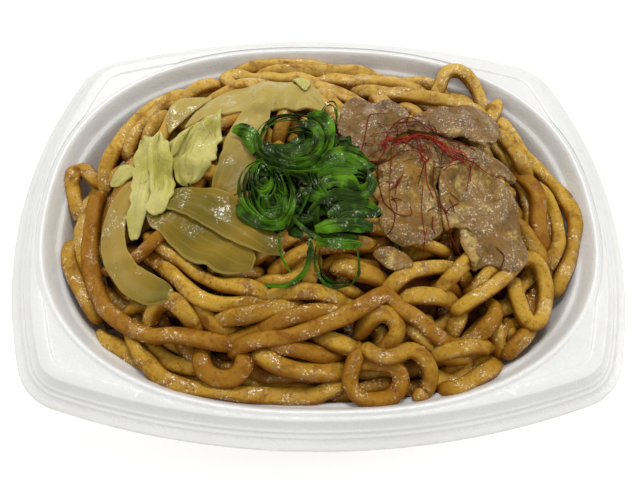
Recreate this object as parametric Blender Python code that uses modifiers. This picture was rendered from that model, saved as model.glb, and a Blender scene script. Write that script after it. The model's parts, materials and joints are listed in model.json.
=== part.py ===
"""Fried thick noodles with toppings, heaped in a white foam tray.

Metres, +Z up. The origin is the middle of the tray's underside and the table is at z = 0.
The long side of the tray runs along X. The food is laid from the bottom up: the noodle heap
fills the bowl, and each topping is a sheet draped over everything that is already there.
"""

import math

import bmesh
import bpy
from mathutils import Vector
from mathutils.bvhtree import BVHTree

# The tray's outer edge: a rectangle with bulging sides
HALF_LENGTH = 0.120
HALF_WIDTH = 0.096
LONG_SIDE_RADIUS = 0.298
SHORT_SIDE_RADIUS = 0.187
CORNER_RADIUS = 0.023
DECK_HEIGHT = 0.036
FOAM_THICKNESS = 0.002

# The oval bowl in it
BOWL_HALF_LENGTH = 0.1082
BOWL_HALF_WIDTH = 0.0840
BOWL_SQUARENESS = 2.4
FLOOR_TOP = 0.0022

# The ring round the deck, and the skirt outside it: how far in from the edge, and the height
STEP_INSET = 0.0134
STEP_CORNER = 0.006
STEP_RISE = 0.0005
SHOULDER_INSET = 0.0083
UPPER_RIDGE = (0.0058, 0.0328)
LOWER_RIDGE = (0.0042, 0.0318)
SKIRT_EDGE = (0.0, 0.0306)

# The bowl's inner wall, from the floor up: how far in from the oval lip, and the height
BOWL_WALL = (
    (0.0340, FLOOR_TOP),
    (0.0260, 0.0027),
    (0.0190, 0.0052),
    (0.0135, 0.0100),
    (0.0095, 0.0170),
    (0.0066, 0.0240),
    (0.0046, 0.0284),
    (0.0032, 0.0293),
    (0.0013, 0.0335),
    (0.0003, 0.0354),
)
HEAP_WALL_RINGS = 4
FOOT_INSET = 0.027

# The noodle heap
HEAP_TOP = 0.0505
HEAP_INSET = 0.0070
HEAP_STEEPNESS = 2.5
HEAP_RINGS = (0.985, 0.94, 0.88, 0.81, 0.73, 0.64, 0.55, 0.45, 0.34, 0.22, 0.10)
NOODLE_WIDTH = 0.0066
ROLL_HEIGHT = 0.0014
CLEARANCE = 0.0004

# Steps in which the pile is felt under each cell of a slice, and round its corners
FINE_STEPS = 6
FEELER = 2

# Directions in which the heap stops short of the wall: degrees, how far, and how wide a hollow
HOLLOWS = ((142, 0.0065, 20), (38, 0.0065, 16), (-38, 0.0040, 14), (-146, 0.0040, 12))

# The spring onion heap
ONION_HEAP_CENTRE = (-0.006, 0.001)
ONION_HEAP_RADII = (0.0250, 0.0310)
ONION_HEAP_HEIGHT = 0.0080

CORNER_STEPS = 6
LONG_STEPS = 6
SHORT_STEPS = 5

# How thick each kind of slice is
SLICE_THICKNESS = {"onion": 0.0026, "cabbage": 0.0020, "meat": 0.0024}

# A slice's width at its ends, as a share, and the length of its rows of faces
END_WIDTH = 0.55
ROW_LENGTH = 0.0055

# Each topping, from the bottom up: name, finish, width, how much it arches across, the depth
# and number of its folds, and the points of its middle line, all in mm
TOPPINGS = (
    ("onion_left_crescent", "onion", 9, 1.6, 0, 0, ((-75, 1), (-80, -13), (-76, -29), (-58, -44))),
    ("onion_back_outer", "onion", 9, 1.6, 0, 0, ((-64, 25), (-60, 38), (-49, 48))),
    ("onion_back_long", "onion", 11, 1.4, 0, 0, ((-53, 33), (-37, 45), (-20, 50), (-4, 47))),
    ("onion_front_lower", "onion", 13, 2.0, 0, 0, ((-62, -21), (-47, -29), (-27, -39))),
    ("onion_front_upper", "onion", 14, 2.2, 0, 0, ((-55, -13), (-38, -18), (-17, -33))),
    ("onion_pale_middle", "onion", 11, 1.4, 0, 0, ((-39, -10), (-35, 5), (-30, 20))),
    ("cabbage_scrap", "cabbage", 9, 1.0, 0, 0, ((-83, 6), (-75, 9))),
    ("cabbage_leaf", "cabbage", 13, 1.8, 1.6, 2, ((-53, -1), (-49, 13), (-43, 28))),
    ("cabbage_frill", "cabbage", 7, 0.8, 1.2, 2, ((-60, 9), (-56, 18), (-50, 26))),
    ("cabbage_strip", "cabbage", 14, 1.0, 1.8, 3, ((-68, 20), (-65, 2), (-65, -22))),
    ("meat_left_back", "meat", 20, 1.0, 1.2, 2, ((13, 39), (18, 26), (22, 10))),
    ("meat_right_back", "meat", 16, 1.4, 1.2, 2, ((38, 25), (54, 29), (71, 28))),
    ("meat_right_middle", "meat", 17, 1.4, 1.2, 2, ((45, 7), (58, 9), (72, 4))),
    ("meat_front_curl", "meat", 8, 1.2, 0, 0, ((18, -30), (25, -33), (32, -36))),
    ("meat_left_front", "meat", 24, 1.4, 1.4, 3, ((30, 9), (31, -9), (33, -29))),
    ("meat_right_front", "meat", 29, 1.4, 1.4, 3, ((57, -37), (59, -18), (60, -1))),
)

# Finish: colour, roughness
FINISHES = {
    "foam": ((0.90, 0.90, 0.88), 0.45),
    "noodle": ((0.62, 0.37, 0.12), 0.35),
    "onion": ((0.55, 0.46, 0.20), 0.25),
    "cabbage": ((0.66, 0.62, 0.30), 0.35),
    "meat": ((0.36, 0.25, 0.15), 0.40),
    "spring_onion": ((0.10, 0.32, 0.05), 0.35),
}


def clear_scene():
    for obj in list(bpy.data.objects):
        bpy.data.objects.remove(obj, do_unlink=True)


def finish(name):
    """A material with the colour and roughness of one of the finishes."""
    if name in bpy.data.materials:
        return bpy.data.materials[name]
    colour, roughness = FINISHES[name]
    material = bpy.data.materials.new(name)
    material.use_nodes = True
    shader = material.node_tree.nodes["Principled BSDF"]
    shader.inputs["Base Color"].default_value = (*colour, 1.0)
    shader.inputs["Roughness"].default_value = roughness
    shader.inputs["Metallic"].default_value = 0.0
    return material


# ---------------------------------------------------------------- outlines


def corner_circle(inset, corner):
    """Centre of the circle that rounds the corner where the two side arcs meet."""
    long_centre = Vector((0.0, HALF_WIDTH - LONG_SIDE_RADIUS))
    short_centre = Vector((HALF_LENGTH - SHORT_SIDE_RADIUS, 0.0))
    long_reach = LONG_SIDE_RADIUS - inset - corner
    short_reach = SHORT_SIDE_RADIUS - inset - corner
    between = short_centre - long_centre
    gap = between.length
    along = (long_reach**2 - short_reach**2 + gap**2) / (2 * gap)
    across = math.sqrt(long_reach**2 - along**2)
    ahead = between / gap
    return long_centre + ahead * along + Vector((ahead.y, -ahead.x)) * across


def ray_to_circle(angle, centre, radius):
    """Distance from the origin, in this direction, to the far side of a circle."""
    ray = Vector((math.cos(angle), math.sin(angle)))
    along = ray.dot(centre)
    return along + math.sqrt(max(along**2 - centre.length_squared + radius**2, 0.0))


def edge_distance(angle, inset, corner):
    """Distance from the middle to the tray's outline, moved in by inset, at this angle."""
    angle = math.atan2(abs(math.sin(angle)), abs(math.cos(angle)))
    long_centre = Vector((0.0, HALF_WIDTH - LONG_SIDE_RADIUS))
    short_centre = Vector((HALF_LENGTH - SHORT_SIDE_RADIUS, 0.0))
    centre = corner_circle(inset, corner)
    on_long = centre + (centre - long_centre).normalized() * corner
    on_short = centre + (centre - short_centre).normalized() * corner
    if angle >= math.atan2(on_long.y, on_long.x):
        return ray_to_circle(angle, long_centre, LONG_SIDE_RADIUS - inset)
    if angle <= math.atan2(on_short.y, on_short.x):
        return ray_to_circle(angle, short_centre, SHORT_SIDE_RADIUS - inset)
    return ray_to_circle(angle, centre, corner)


def oval_distance(angle, inset):
    """Distance from the middle to the bowl's oval, moved in by inset, at this angle."""
    across = abs(math.cos(angle)) / (BOWL_HALF_LENGTH - inset)
    along = abs(math.sin(angle)) / (BOWL_HALF_WIDTH - inset)
    return (across**BOWL_SQUARENESS + along**BOWL_SQUARENESS) ** (-1 / BOWL_SQUARENESS)


def spread(start, end, steps):
    return [start + (end - start) * i / steps for i in range(steps)]


def ring_angles():
    """Angles of a ring's points, closer together round the tray's corners."""
    centre = corner_circle(0.0, CORNER_RADIUS)
    long_centre = Vector((0.0, HALF_WIDTH - LONG_SIDE_RADIUS))
    short_centre = Vector((HALF_LENGTH - SHORT_SIDE_RADIUS, 0.0))
    on_long = centre + (centre - long_centre).normalized() * CORNER_RADIUS
    on_short = centre + (centre - short_centre).normalized() * CORNER_RADIUS
    first = math.atan2(on_short.y, on_short.x)
    second = math.atan2(on_long.y, on_long.x)
    quarter = spread(0.0, first, SHORT_STEPS) + spread(first, second, CORNER_STEPS)
    quarter += spread(second, math.pi / 2, LONG_STEPS)
    half = quarter + [math.pi / 2] + [math.pi - a for a in reversed(quarter[1:])]
    return half + [a + math.pi for a in half]


ANGLES = ring_angles()


def ring(distance, height):
    """Points round the middle. Distance and height are numbers or functions of the angle."""
    points = []
    for angle in ANGLES:
        reach = distance(angle) if callable(distance) else distance
        level = height(angle) if callable(height) else height
        points.append((reach * math.cos(angle), reach * math.sin(angle), level))
    return points


def oval_ring(inset, height):
    return ring(lambda angle: oval_distance(angle, inset), height)


def edge_ring(inset, height, corner=None):
    """A ring that follows the tray's edge, and never comes inside the bowl's lip."""
    radius = corner or max(CORNER_RADIUS - inset, STEP_CORNER)
    lip = -FOAM_THICKNESS
    return ring(lambda angle: max(edge_distance(angle, inset, radius), oval_distance(angle, lip)), height)


def moved_profile(profile, distance):
    """The profile moved sideways, away from the bowl's inside where distance is positive."""
    moved = []
    for i, (inset, height) in enumerate(profile):
        before = profile[max(i - 1, 0)]
        after = profile[min(i + 1, len(profile) - 1)]
        run = Vector((after[0] - before[0], after[1] - before[1])).normalized()
        moved.append((inset - run.y * distance, height + run.x * distance))
    return moved


# ---------------------------------------------------------------- meshes


def add_object(name, finish_name, mesh_data, collection, parent):
    """An object whose origin is the middle of its own mesh."""
    middle = sum((vertex.co for vertex in mesh_data.verts), Vector()) / len(mesh_data.verts)
    for vertex in mesh_data.verts:
        vertex.co -= middle
    mesh = bpy.data.meshes.new(name)
    mesh_data.to_mesh(mesh)
    mesh_data.free()
    mesh.shade_smooth()
    mesh.materials.append(finish(finish_name))
    obj = bpy.data.objects.new(name, mesh)
    collection.objects.link(obj)
    obj.parent = parent
    obj.location = middle
    return obj


def closed_loft(rings, first_pole, last_pole):
    """A closed body through the rings in order, with a fan at each end."""
    built = bmesh.new()
    count = len(rings[0])
    loops = [[built.verts.new(point) for point in points] for points in rings]
    ends = [built.verts.new(first_pole), built.verts.new(last_pole)]
    for inner, outer in zip(loops, loops[1:]):
        for i in range(count):
            j = (i + 1) % count
            built.faces.new((inner[i], inner[j], outer[j], outer[i]))
    for i in range(count):
        j = (i + 1) % count
        built.faces.new((ends[0], loops[0][j], loops[0][i]))
        built.faces.new((ends[1], loops[-1][i], loops[-1][j]))
    if built.calc_volume(signed=True) < 0:
        bmesh.ops.reverse_faces(built, faces=built.faces)
    return built


class Pile:
    """Everything laid so far, for finding how high the next piece has to lie."""

    def __init__(self):
        self.points = []
        self.faces = []
        self.tree = None

    def add(self, obj):
        bpy.context.view_layer.update()
        graph = bpy.context.evaluated_depsgraph_get()
        shape = obj.evaluated_get(graph)
        mesh = shape.to_mesh()
        start = len(self.points)
        self.points += [obj.matrix_world @ vertex.co for vertex in mesh.vertices]
        mesh.calc_loop_triangles()
        self.faces += [[start + i for i in face.vertices] for face in mesh.loop_triangles]
        shape.to_mesh_clear()
        self.tree = BVHTree.FromPolygons(self.points, self.faces)

    def height(self, x, y):
        """Height of the pile's top here, or 0 beside it."""
        hit = self.tree.ray_cast(Vector((x, y, 0.2)), Vector((0, 0, -1)))[0]
        return hit.z if hit else 0.0


def cell_height(corners, a, b):
    """The lower of the two ways in which a four-cornered cell can be split into triangles."""
    low_left, low_right, high_left, high_right = corners
    if a > b:
        one = low_left + a * (low_right - low_left) + b * (high_right - low_right)
    else:
        one = low_left + b * (high_left - low_left) + a * (high_right - high_left)
    if a + b < 1:
        other = low_left + a * (low_right - low_left) + b * (high_left - low_left)
    else:
        other = high_right + (1 - a) * (high_left - high_right) + (1 - b) * (low_right - high_right)
    return min(one, other)


def drape(pile, place, rows, columns, around=False):
    """Heights of a grid's corners, row by row, at which its sheet just clears the pile.

    With around, the last row joins the first.
    """
    across, along = columns * FINE_STEPS, rows * FINE_STEPS
    tops = {}
    for i in range(-1, along + 2):
        for j in range(-1, across + 2):
            tops[i, j] = pile.height(*place(i / along, j / across))
    heights = {}
    around_it = range(-FEELER, FEELER + 1)
    for i in range(rows + 1):
        for j in range(columns + 1):
            felt = [(i * FINE_STEPS + k, j * FINE_STEPS + m) for k in around_it for m in around_it]
            heights[i, j] = max(tops.get(key, 0.0) for key in felt) + CLEARANCE
    for i in range(along + 1):
        for j in range(across + 1):
            near = max(tops[i + k, j + m] for k in (-1, 0, 1) for m in (-1, 0, 1))
            row, column = min(i // FINE_STEPS, rows - 1), min(j // FINE_STEPS, columns - 1)
            a, b = i / FINE_STEPS - row, j / FINE_STEPS - column
            keys = [(row, column), (row + 1, column), (row, column + 1), (row + 1, column + 1)]
            short = near + CLEARANCE - cell_height([heights[key] for key in keys], a, b)
            if short <= 0:
                continue
            weights = ((1 - a) * (1 - b), a * (1 - b), (1 - a) * b, a * b)
            total = sum(weight**2 for weight in weights)
            for key, weight in zip(keys, weights):
                heights[key] += short * weight / total
                if around and key[0] in (0, rows):
                    heights[rows - key[0], key[1]] = heights[key]
    return heights


# ---------------------------------------------------------------- tray


def add_tray(collection, parent):
    """A shell of one thickness: oval bowl, flat deck, raised ring and sloping ribbed skirt."""
    step = HALF_LENGTH - STEP_INSET
    lower_deck = DECK_HEIGHT - STEP_RISE
    rings = [oval_ring(inset, height) for inset, height in BOWL_WALL]
    rings.append(oval_ring(-0.0009, DECK_HEIGHT))
    rings.append(oval_ring(-0.0018, lower_deck))
    rings.append(edge_ring(HALF_LENGTH - step, lower_deck, STEP_CORNER))
    rings.append(edge_ring(STEP_INSET - 0.0006, DECK_HEIGHT, STEP_CORNER))
    rings.append(edge_ring(SHOULDER_INSET + 0.0008, DECK_HEIGHT))
    rings.append(edge_ring(SHOULDER_INSET, DECK_HEIGHT - 0.0007))
    rings += [edge_ring(*UPPER_RIDGE), edge_ring(*LOWER_RIDGE), edge_ring(*SKIRT_EDGE)]
    rings.append(edge_ring(SKIRT_EDGE[0], SKIRT_EDGE[1] - FOAM_THICKNESS))
    rings.append(edge_ring(LOWER_RIDGE[0] + 0.0012, LOWER_RIDGE[1] - FOAM_THICKNESS))
    rings.append(ring(lambda angle: edge_distance(angle, 0.0092, CORNER_RADIUS - 0.0092), 0.0338))
    rings.append(ring(lambda angle: oval_distance(angle, -0.0020), DECK_HEIGHT - 0.0026))
    outside = moved_profile([BOWL_WALL[i] for i in (0, 1, 2, 3, 4, 5, 8)], FOAM_THICKNESS)
    rings += [oval_ring(inset, height) for inset, height in reversed(outside[2:])]
    rings.append(oval_ring(FOOT_INSET, 0.0))
    built = closed_loft(rings, (0, 0, FLOOR_TOP), (0, 0, 0))
    return add_object("tray", "foam", built, collection, parent)


# ---------------------------------------------------------------- noodles


def heap_inset(angle):
    """How far inside the lip the heap meets the wall, in this direction."""
    inset = HEAP_INSET + 0.0006 * math.sin(7 * angle + 1.0)
    for degrees, depth, width in HOLLOWS:
        away = (math.degrees(angle) - degrees + 180) % 360 - 180
        inset += depth * math.exp(-((away / width) ** 2))
    return inset


def wall_height(inset):
    """Height of the bowl's inner wall this far in from the lip."""
    for (outer, low), (inner, high) in zip(BOWL_WALL, BOWL_WALL[1:]):
        if inner <= inset <= outer:
            return low + (high - low) * (outer - inset) / (outer - inner)
    return FLOOR_TOP


def noodle_rolls(x, y):
    """Rise and fall of the strands that cross on top of the heap."""
    along = math.sin(2 * math.pi * (x + 0.6 * y) / (3.4 * NOODLE_WIDTH) + 3 * math.sin(40 * y))
    across = math.sin(2 * math.pi * (y - 0.3 * x) / (2.6 * NOODLE_WIDTH) + 2 * math.sin(35 * x))
    return ROLL_HEIGHT * (along + across)


def heap_ring(share):
    """A ring of the heap's top, at this share of the way out to its edge."""
    points = []
    for angle in ANGLES:
        inset = heap_inset(angle)
        reach = oval_distance(angle, inset + CLEARANCE) * share
        edge = wall_height(inset) + CLEARANCE
        x, y = reach * math.cos(angle), reach * math.sin(angle)
        rise = (HEAP_TOP - edge) * (1 - share**HEAP_STEEPNESS)
        points.append((x, y, edge + rise + noodle_rolls(x, y) * min(1.0, 6 * (1 - share))))
    return points


def add_noodle_heap(collection, parent):
    """A solid heap that follows the bowl below and mounds up unevenly above."""
    below = moved_profile(BOWL_WALL[: HEAP_WALL_RINGS + 1], -CLEARANCE)[:HEAP_WALL_RINGS]
    rings = [oval_ring(inset, height) for inset, height in below]
    rings += [heap_ring(share) for share in (1.0, *HEAP_RINGS)]
    built = closed_loft(rings, (0, 0, FLOOR_TOP + CLEARANCE), (0, 0, HEAP_TOP))
    return add_object("noodle_heap", "noodle", built, collection, parent)


# ---------------------------------------------------------------- toppings


def point_on_line(points, share):
    """A point on the smooth line through the points, and the direction there."""
    last = len(points) - 1
    place = min(max(share, 0.0), 1.0) * last
    i = min(int(place), last - 1)
    t = place - i
    ends = [Vector(points[k]) for k in (i, i + 1)]
    before = Vector(points[i - 1]) if i > 0 else 2 * ends[0] - ends[1]
    after = Vector(points[i + 2]) if i + 2 <= last else 2 * ends[1] - ends[0]
    a = 2 * ends[0]
    b = ends[1] - before
    c = 2 * before - 5 * ends[0] + 4 * ends[1] - after
    d = 3 * ends[0] - before - 3 * ends[1] + after
    spot = 0.5 * (a + b * t + c * t**2 + d * t**3)
    heading = 0.5 * (b + 2 * c * t + 3 * d * t**2)
    return spot, heading.normalized()


def add_slice(pile, spec, collection, parent):
    """A slice draped over the pile along its middle line, rounded in plan and arched across."""
    name, finish_name, width, arch, fold_depth, folds, line = spec
    points = [(x / 1000, y / 1000) for x, y in line]
    length = sum((Vector(b) - Vector(a)).length for a, b in zip(points, points[1:]))
    rows = max(4, round(length / ROW_LENGTH))
    columns = 4 if width > 11 or folds else 3

    def place(u, v):
        spot, heading = point_on_line(points, u)
        spot = spot + heading * length * (min(u, 0) + max(u - 1, 0))
        rounded = 1 - (1 - END_WIDTH) * abs(2 * u - 1) ** 5
        half = width / 2000 * rounded
        side = Vector((-heading.y, heading.x)) * half * (2 * v - 1)
        return spot.x + side.x, spot.y + side.y

    heights = drape(pile, place, rows, columns)
    built = bmesh.new()
    bmesh.ops.create_grid(built, x_segments=rows, y_segments=columns, size=0.5)
    for vertex in built.verts:
        u, v = vertex.co.x + 0.5, vertex.co.y + 0.5
        i, j = round(u * rows), round(v * columns)
        x, y = place(i / rows, j / columns)
        wave = 0.5 - 0.5 * math.cos(2 * math.pi * folds * (v + 0.15 * math.sin(5 * u)))
        lift = arch * (1 - (2 * v - 1) ** 2) + fold_depth * wave
        vertex.co = Vector((x, y, heights[i, j] + lift / 1000))
    obj = add_object(name, finish_name, built, collection, parent)
    shell = obj.modifiers.new("thickness", "SOLIDIFY")
    shell.thickness = SLICE_THICKNESS[finish_name]
    shell.offset = 1.0
    shell.use_even_offset = False
    pile.add(obj)
    return obj


def add_spring_onion_heap(pile, collection, parent):
    """A low loose heap with a lobed outline, lying on the noodles and slices."""
    turns, shares = 28, (0.3, 0.62, 0.88, 1.0)
    edges = (0.0, *shares)

    def reach(turn):
        lobes = 1 + 0.10 * math.sin(3 * turn + 0.6) + 0.07 * math.sin(5 * turn + 2.0)
        return ONION_HEAP_RADII[0] * lobes, ONION_HEAP_RADII[1] * lobes

    def place(u, v):
        turn, share = 2 * math.pi * u, v * len(shares)
        i = min(int(max(share, 0)), len(shares) - 1)
        share = edges[i] + (edges[i + 1] - edges[i]) * (share - i)
        long, wide = reach(turn)[0] * share, reach(turn)[1] * share
        x = ONION_HEAP_CENTRE[0] + long * math.cos(turn)
        return x, ONION_HEAP_CENTRE[1] + wide * math.sin(turn)

    heights = drape(pile, place, turns, len(shares), around=True)
    below, above = [], []
    for k, share in enumerate(shares, 1):
        low_ring, high_ring = [], []
        for i in range(turns):
            x, y = place(i / turns, k / len(shares))
            low = heights[i, k]
            curls = 0.0012 * math.sin(420 * x) * math.sin(390 * y + 1)
            rise = 0.0012 + ONION_HEAP_HEIGHT * (1 - share**2) ** 0.8 + curls * (1 - share)
            low_ring.append((x, y, low))
            high_ring.append((x, y, low + rise))
        below.append(low_ring)
        above.append(high_ring)
    x, y = ONION_HEAP_CENTRE
    base = max(heights[i, 0] for i in range(turns))
    built = closed_loft(below + above[::-1], (x, y, base), (x, y, base + ONION_HEAP_HEIGHT))
    obj = add_object("spring_onion_heap", "spring_onion", built, collection, parent)
    pile.add(obj)
    return obj


def main():
    clear_scene()
    collection = bpy.data.collections.new("yaki_udon")
    bpy.context.scene.collection.children.link(collection)
    parent = bpy.data.objects.new("yaki_udon_origin", None)
    collection.objects.link(parent)
    pile = Pile()
    pile.add(add_tray(collection, parent))
    pile.add(add_noodle_heap(collection, parent))
    for spec in TOPPINGS:
        add_slice(pile, spec, collection, parent)
    add_spring_onion_heap(pile, collection, parent)


main()
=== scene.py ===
"""Yaki udon in a white foam tray: fried thick noodles with onion, cabbage, meat and spring onion.

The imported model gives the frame. The food is laid from the bottom up on a height map of the bowl,
so every strand and slice rests on what lies under it.
"""

import json
import math

import bmesh
import bpy
import numpy as np
from mathutils import Matrix, Vector, noise
from mathutils.bvhtree import BVHTree
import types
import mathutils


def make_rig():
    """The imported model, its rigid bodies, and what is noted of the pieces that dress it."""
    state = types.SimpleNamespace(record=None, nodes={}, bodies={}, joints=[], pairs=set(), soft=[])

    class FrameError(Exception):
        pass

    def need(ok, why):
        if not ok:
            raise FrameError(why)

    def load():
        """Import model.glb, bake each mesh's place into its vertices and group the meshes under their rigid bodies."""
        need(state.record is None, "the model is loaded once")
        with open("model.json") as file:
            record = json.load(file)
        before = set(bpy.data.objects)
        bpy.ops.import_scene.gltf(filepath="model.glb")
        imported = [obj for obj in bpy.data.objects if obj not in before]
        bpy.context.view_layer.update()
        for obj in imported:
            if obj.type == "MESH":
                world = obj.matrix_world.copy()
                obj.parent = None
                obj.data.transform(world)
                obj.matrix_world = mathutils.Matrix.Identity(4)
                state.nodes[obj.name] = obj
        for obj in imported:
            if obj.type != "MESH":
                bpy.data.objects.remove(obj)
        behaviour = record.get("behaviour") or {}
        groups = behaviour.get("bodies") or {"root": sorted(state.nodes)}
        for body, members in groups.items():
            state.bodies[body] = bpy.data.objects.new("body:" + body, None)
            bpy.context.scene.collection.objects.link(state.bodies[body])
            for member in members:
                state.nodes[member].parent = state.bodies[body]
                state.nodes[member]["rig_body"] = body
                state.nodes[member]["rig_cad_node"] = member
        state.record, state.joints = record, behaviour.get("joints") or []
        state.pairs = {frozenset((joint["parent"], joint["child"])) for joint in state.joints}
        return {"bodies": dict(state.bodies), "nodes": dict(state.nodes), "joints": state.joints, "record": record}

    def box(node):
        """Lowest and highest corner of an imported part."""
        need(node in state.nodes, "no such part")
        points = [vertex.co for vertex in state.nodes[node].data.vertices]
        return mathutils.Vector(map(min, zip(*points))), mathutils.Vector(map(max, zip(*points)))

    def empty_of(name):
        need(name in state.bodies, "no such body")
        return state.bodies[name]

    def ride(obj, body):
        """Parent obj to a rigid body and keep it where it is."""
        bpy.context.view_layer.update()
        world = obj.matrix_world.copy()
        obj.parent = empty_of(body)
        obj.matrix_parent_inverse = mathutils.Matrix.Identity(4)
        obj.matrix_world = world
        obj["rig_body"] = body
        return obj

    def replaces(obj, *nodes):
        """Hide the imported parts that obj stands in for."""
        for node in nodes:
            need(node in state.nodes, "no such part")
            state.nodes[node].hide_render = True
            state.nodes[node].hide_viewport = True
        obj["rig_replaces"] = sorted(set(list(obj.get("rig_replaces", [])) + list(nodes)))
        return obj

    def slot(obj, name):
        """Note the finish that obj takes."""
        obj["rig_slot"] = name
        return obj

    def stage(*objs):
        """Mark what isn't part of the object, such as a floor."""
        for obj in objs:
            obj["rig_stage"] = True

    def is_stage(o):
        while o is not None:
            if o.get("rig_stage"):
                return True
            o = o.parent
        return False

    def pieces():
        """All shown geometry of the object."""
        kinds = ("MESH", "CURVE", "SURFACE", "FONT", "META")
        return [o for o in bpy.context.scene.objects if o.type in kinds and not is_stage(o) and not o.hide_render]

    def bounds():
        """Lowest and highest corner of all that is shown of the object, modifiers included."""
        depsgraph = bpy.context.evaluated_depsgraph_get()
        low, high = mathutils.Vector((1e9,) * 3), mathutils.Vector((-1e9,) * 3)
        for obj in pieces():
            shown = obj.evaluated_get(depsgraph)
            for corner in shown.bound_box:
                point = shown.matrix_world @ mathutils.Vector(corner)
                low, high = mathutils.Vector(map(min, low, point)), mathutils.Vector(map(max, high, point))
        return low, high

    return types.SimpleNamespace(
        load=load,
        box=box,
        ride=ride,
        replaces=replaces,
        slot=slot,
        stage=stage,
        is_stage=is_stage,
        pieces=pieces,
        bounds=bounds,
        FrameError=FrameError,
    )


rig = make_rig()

bl_info = {
    "name": "Yaki Udon Maker",
    "version": (1, 0, 0),
    "blender": (4, 5, 0),
    "location": "3D View > Sidebar > Yaki Udon",
    "description": "Makes a tray of fried thick noodles with its toppings",
    "category": "Add Mesh",
}

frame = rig.load()
CAD_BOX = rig.bounds()
MM = 0.001

# ---------------------------------------------------------------- sizes of the tray

TRAY_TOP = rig.box("tray")[1]
HALF_LENGTH, HALF_WIDTH, DECK = TRAY_TOP
LONG_SIDE_RADIUS = 0.298
SHORT_SIDE_RADIUS = 0.187
CORNER_RADIUS = 0.023
BOWL_HALF_LENGTH = HALF_LENGTH - 0.0118
BOWL_HALF_WIDTH = HALF_WIDTH - 0.0120
BOWL_SQUARENESS = 2.4
FLOOR_TOP = 0.0022
FOAM_THICKNESS = 0.002
FOOT_INSET = 0.027
LEAST_CORNER = 0.006
LIP_GAP = 0.0004
TRAY_ANGLES = 320

# The bowl's inner wall from the floor up: how far in from the oval lip, and the height, in mm
BOWL_WALL = (
    (34.0, 2.2), (26.0, 2.7), (22.0, 3.7), (19.0, 5.2), (16.0, 7.3), (13.5, 10.0), (11.3, 13.4),
    (9.5, 17.0), (7.9, 20.6), (6.6, 24.0), (5.6, 26.6), (4.9, 28.1), (4.4, 28.6), (3.6, 28.9),
    (3.1, 29.5), (2.5, 31.0), (1.7, 33.0), (1.0, 34.6), (0.4, 35.6), (-0.1, 35.95), (-0.6, 36.0),
    (-1.2, 35.8), (-1.5, 35.5), (-2.0, 35.45),
)

# From the deck out over the raised ring and the ribbed skirt: how far in from the edge, and the height
RIM = (
    (13.9, 35.45), (13.5, 35.5), (13.2, 35.9), (12.6, 36.0), (9.1, 36.0), (8.6, 35.85), (8.3, 35.4),
    (7.9, 34.6), (6.5, 33.3), (6.1, 33.0), (5.8, 33.05), (5.5, 32.8), (5.2, 32.2), (4.5, 31.9),
    (4.1, 31.95), (3.8, 31.7), (3.5, 31.3), (1.6, 30.9), (0.5, 30.75), (0.1, 30.5), (0.0, 29.9),
)
UNDER_RIM = ((0.15, 28.9), (0.8, 28.6), (4.8, 29.6), (7.4, 31.4), (9.4, 33.7), (11.5, 33.8))

# ---------------------------------------------------------------- the heap

HEAP_HALF_LENGTH = 0.101
HEAP_HALF_WIDTH = 0.080
HEAP_EDGE = DECK - 0.009
HEAP_RISE = 0.024
HEAP_STEEPNESS = 2.5
CORE_DEPTH = 0.0125
CORE_EDGE_DROP = 0.005
CORE_REACH = 0.96
CORE_ANGLES = 120

# Noodles deep along the wall: how far out they lie, how many mm under the heap's surface, and their arcs
EDGE_ROUNDS = ((0.93, 5.5), (0.85, 7.0), (0.76, 8.0))
EDGE_SWEEP = (0.8, 1.7)
NOODLE_STEP = 0.0012
END_DIP = 0.0055
END_DIP_LENGTH = 0.012
MOST_OVER = 0.0018

# Noodles at random: how many are tried, how deep a gap they start in, how far over the heap's surface they
# may lie, and their lengths, in metres. For the low ones, how many are tried is one of the sizes.
LOW_FILL = (0.003, -0.0085, (0.05, 0.12))
SHORT_FILL = (1100, 0.0042, -0.0025, (0.012, 0.045))
TOP_FILLS = (
    (420, 0.0035, 0.0008, (0.04, 0.10)),
    (900, 0.0030, 0.0008, (0.022, 0.045)),
)

# Directions in which the food stops short of the wall: degrees, share of the way, and width
HOLLOWS = ((142, 0.07, 20), (38, 0.07, 16), (-38, 0.05, 14), (-146, 0.05, 12))

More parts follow.
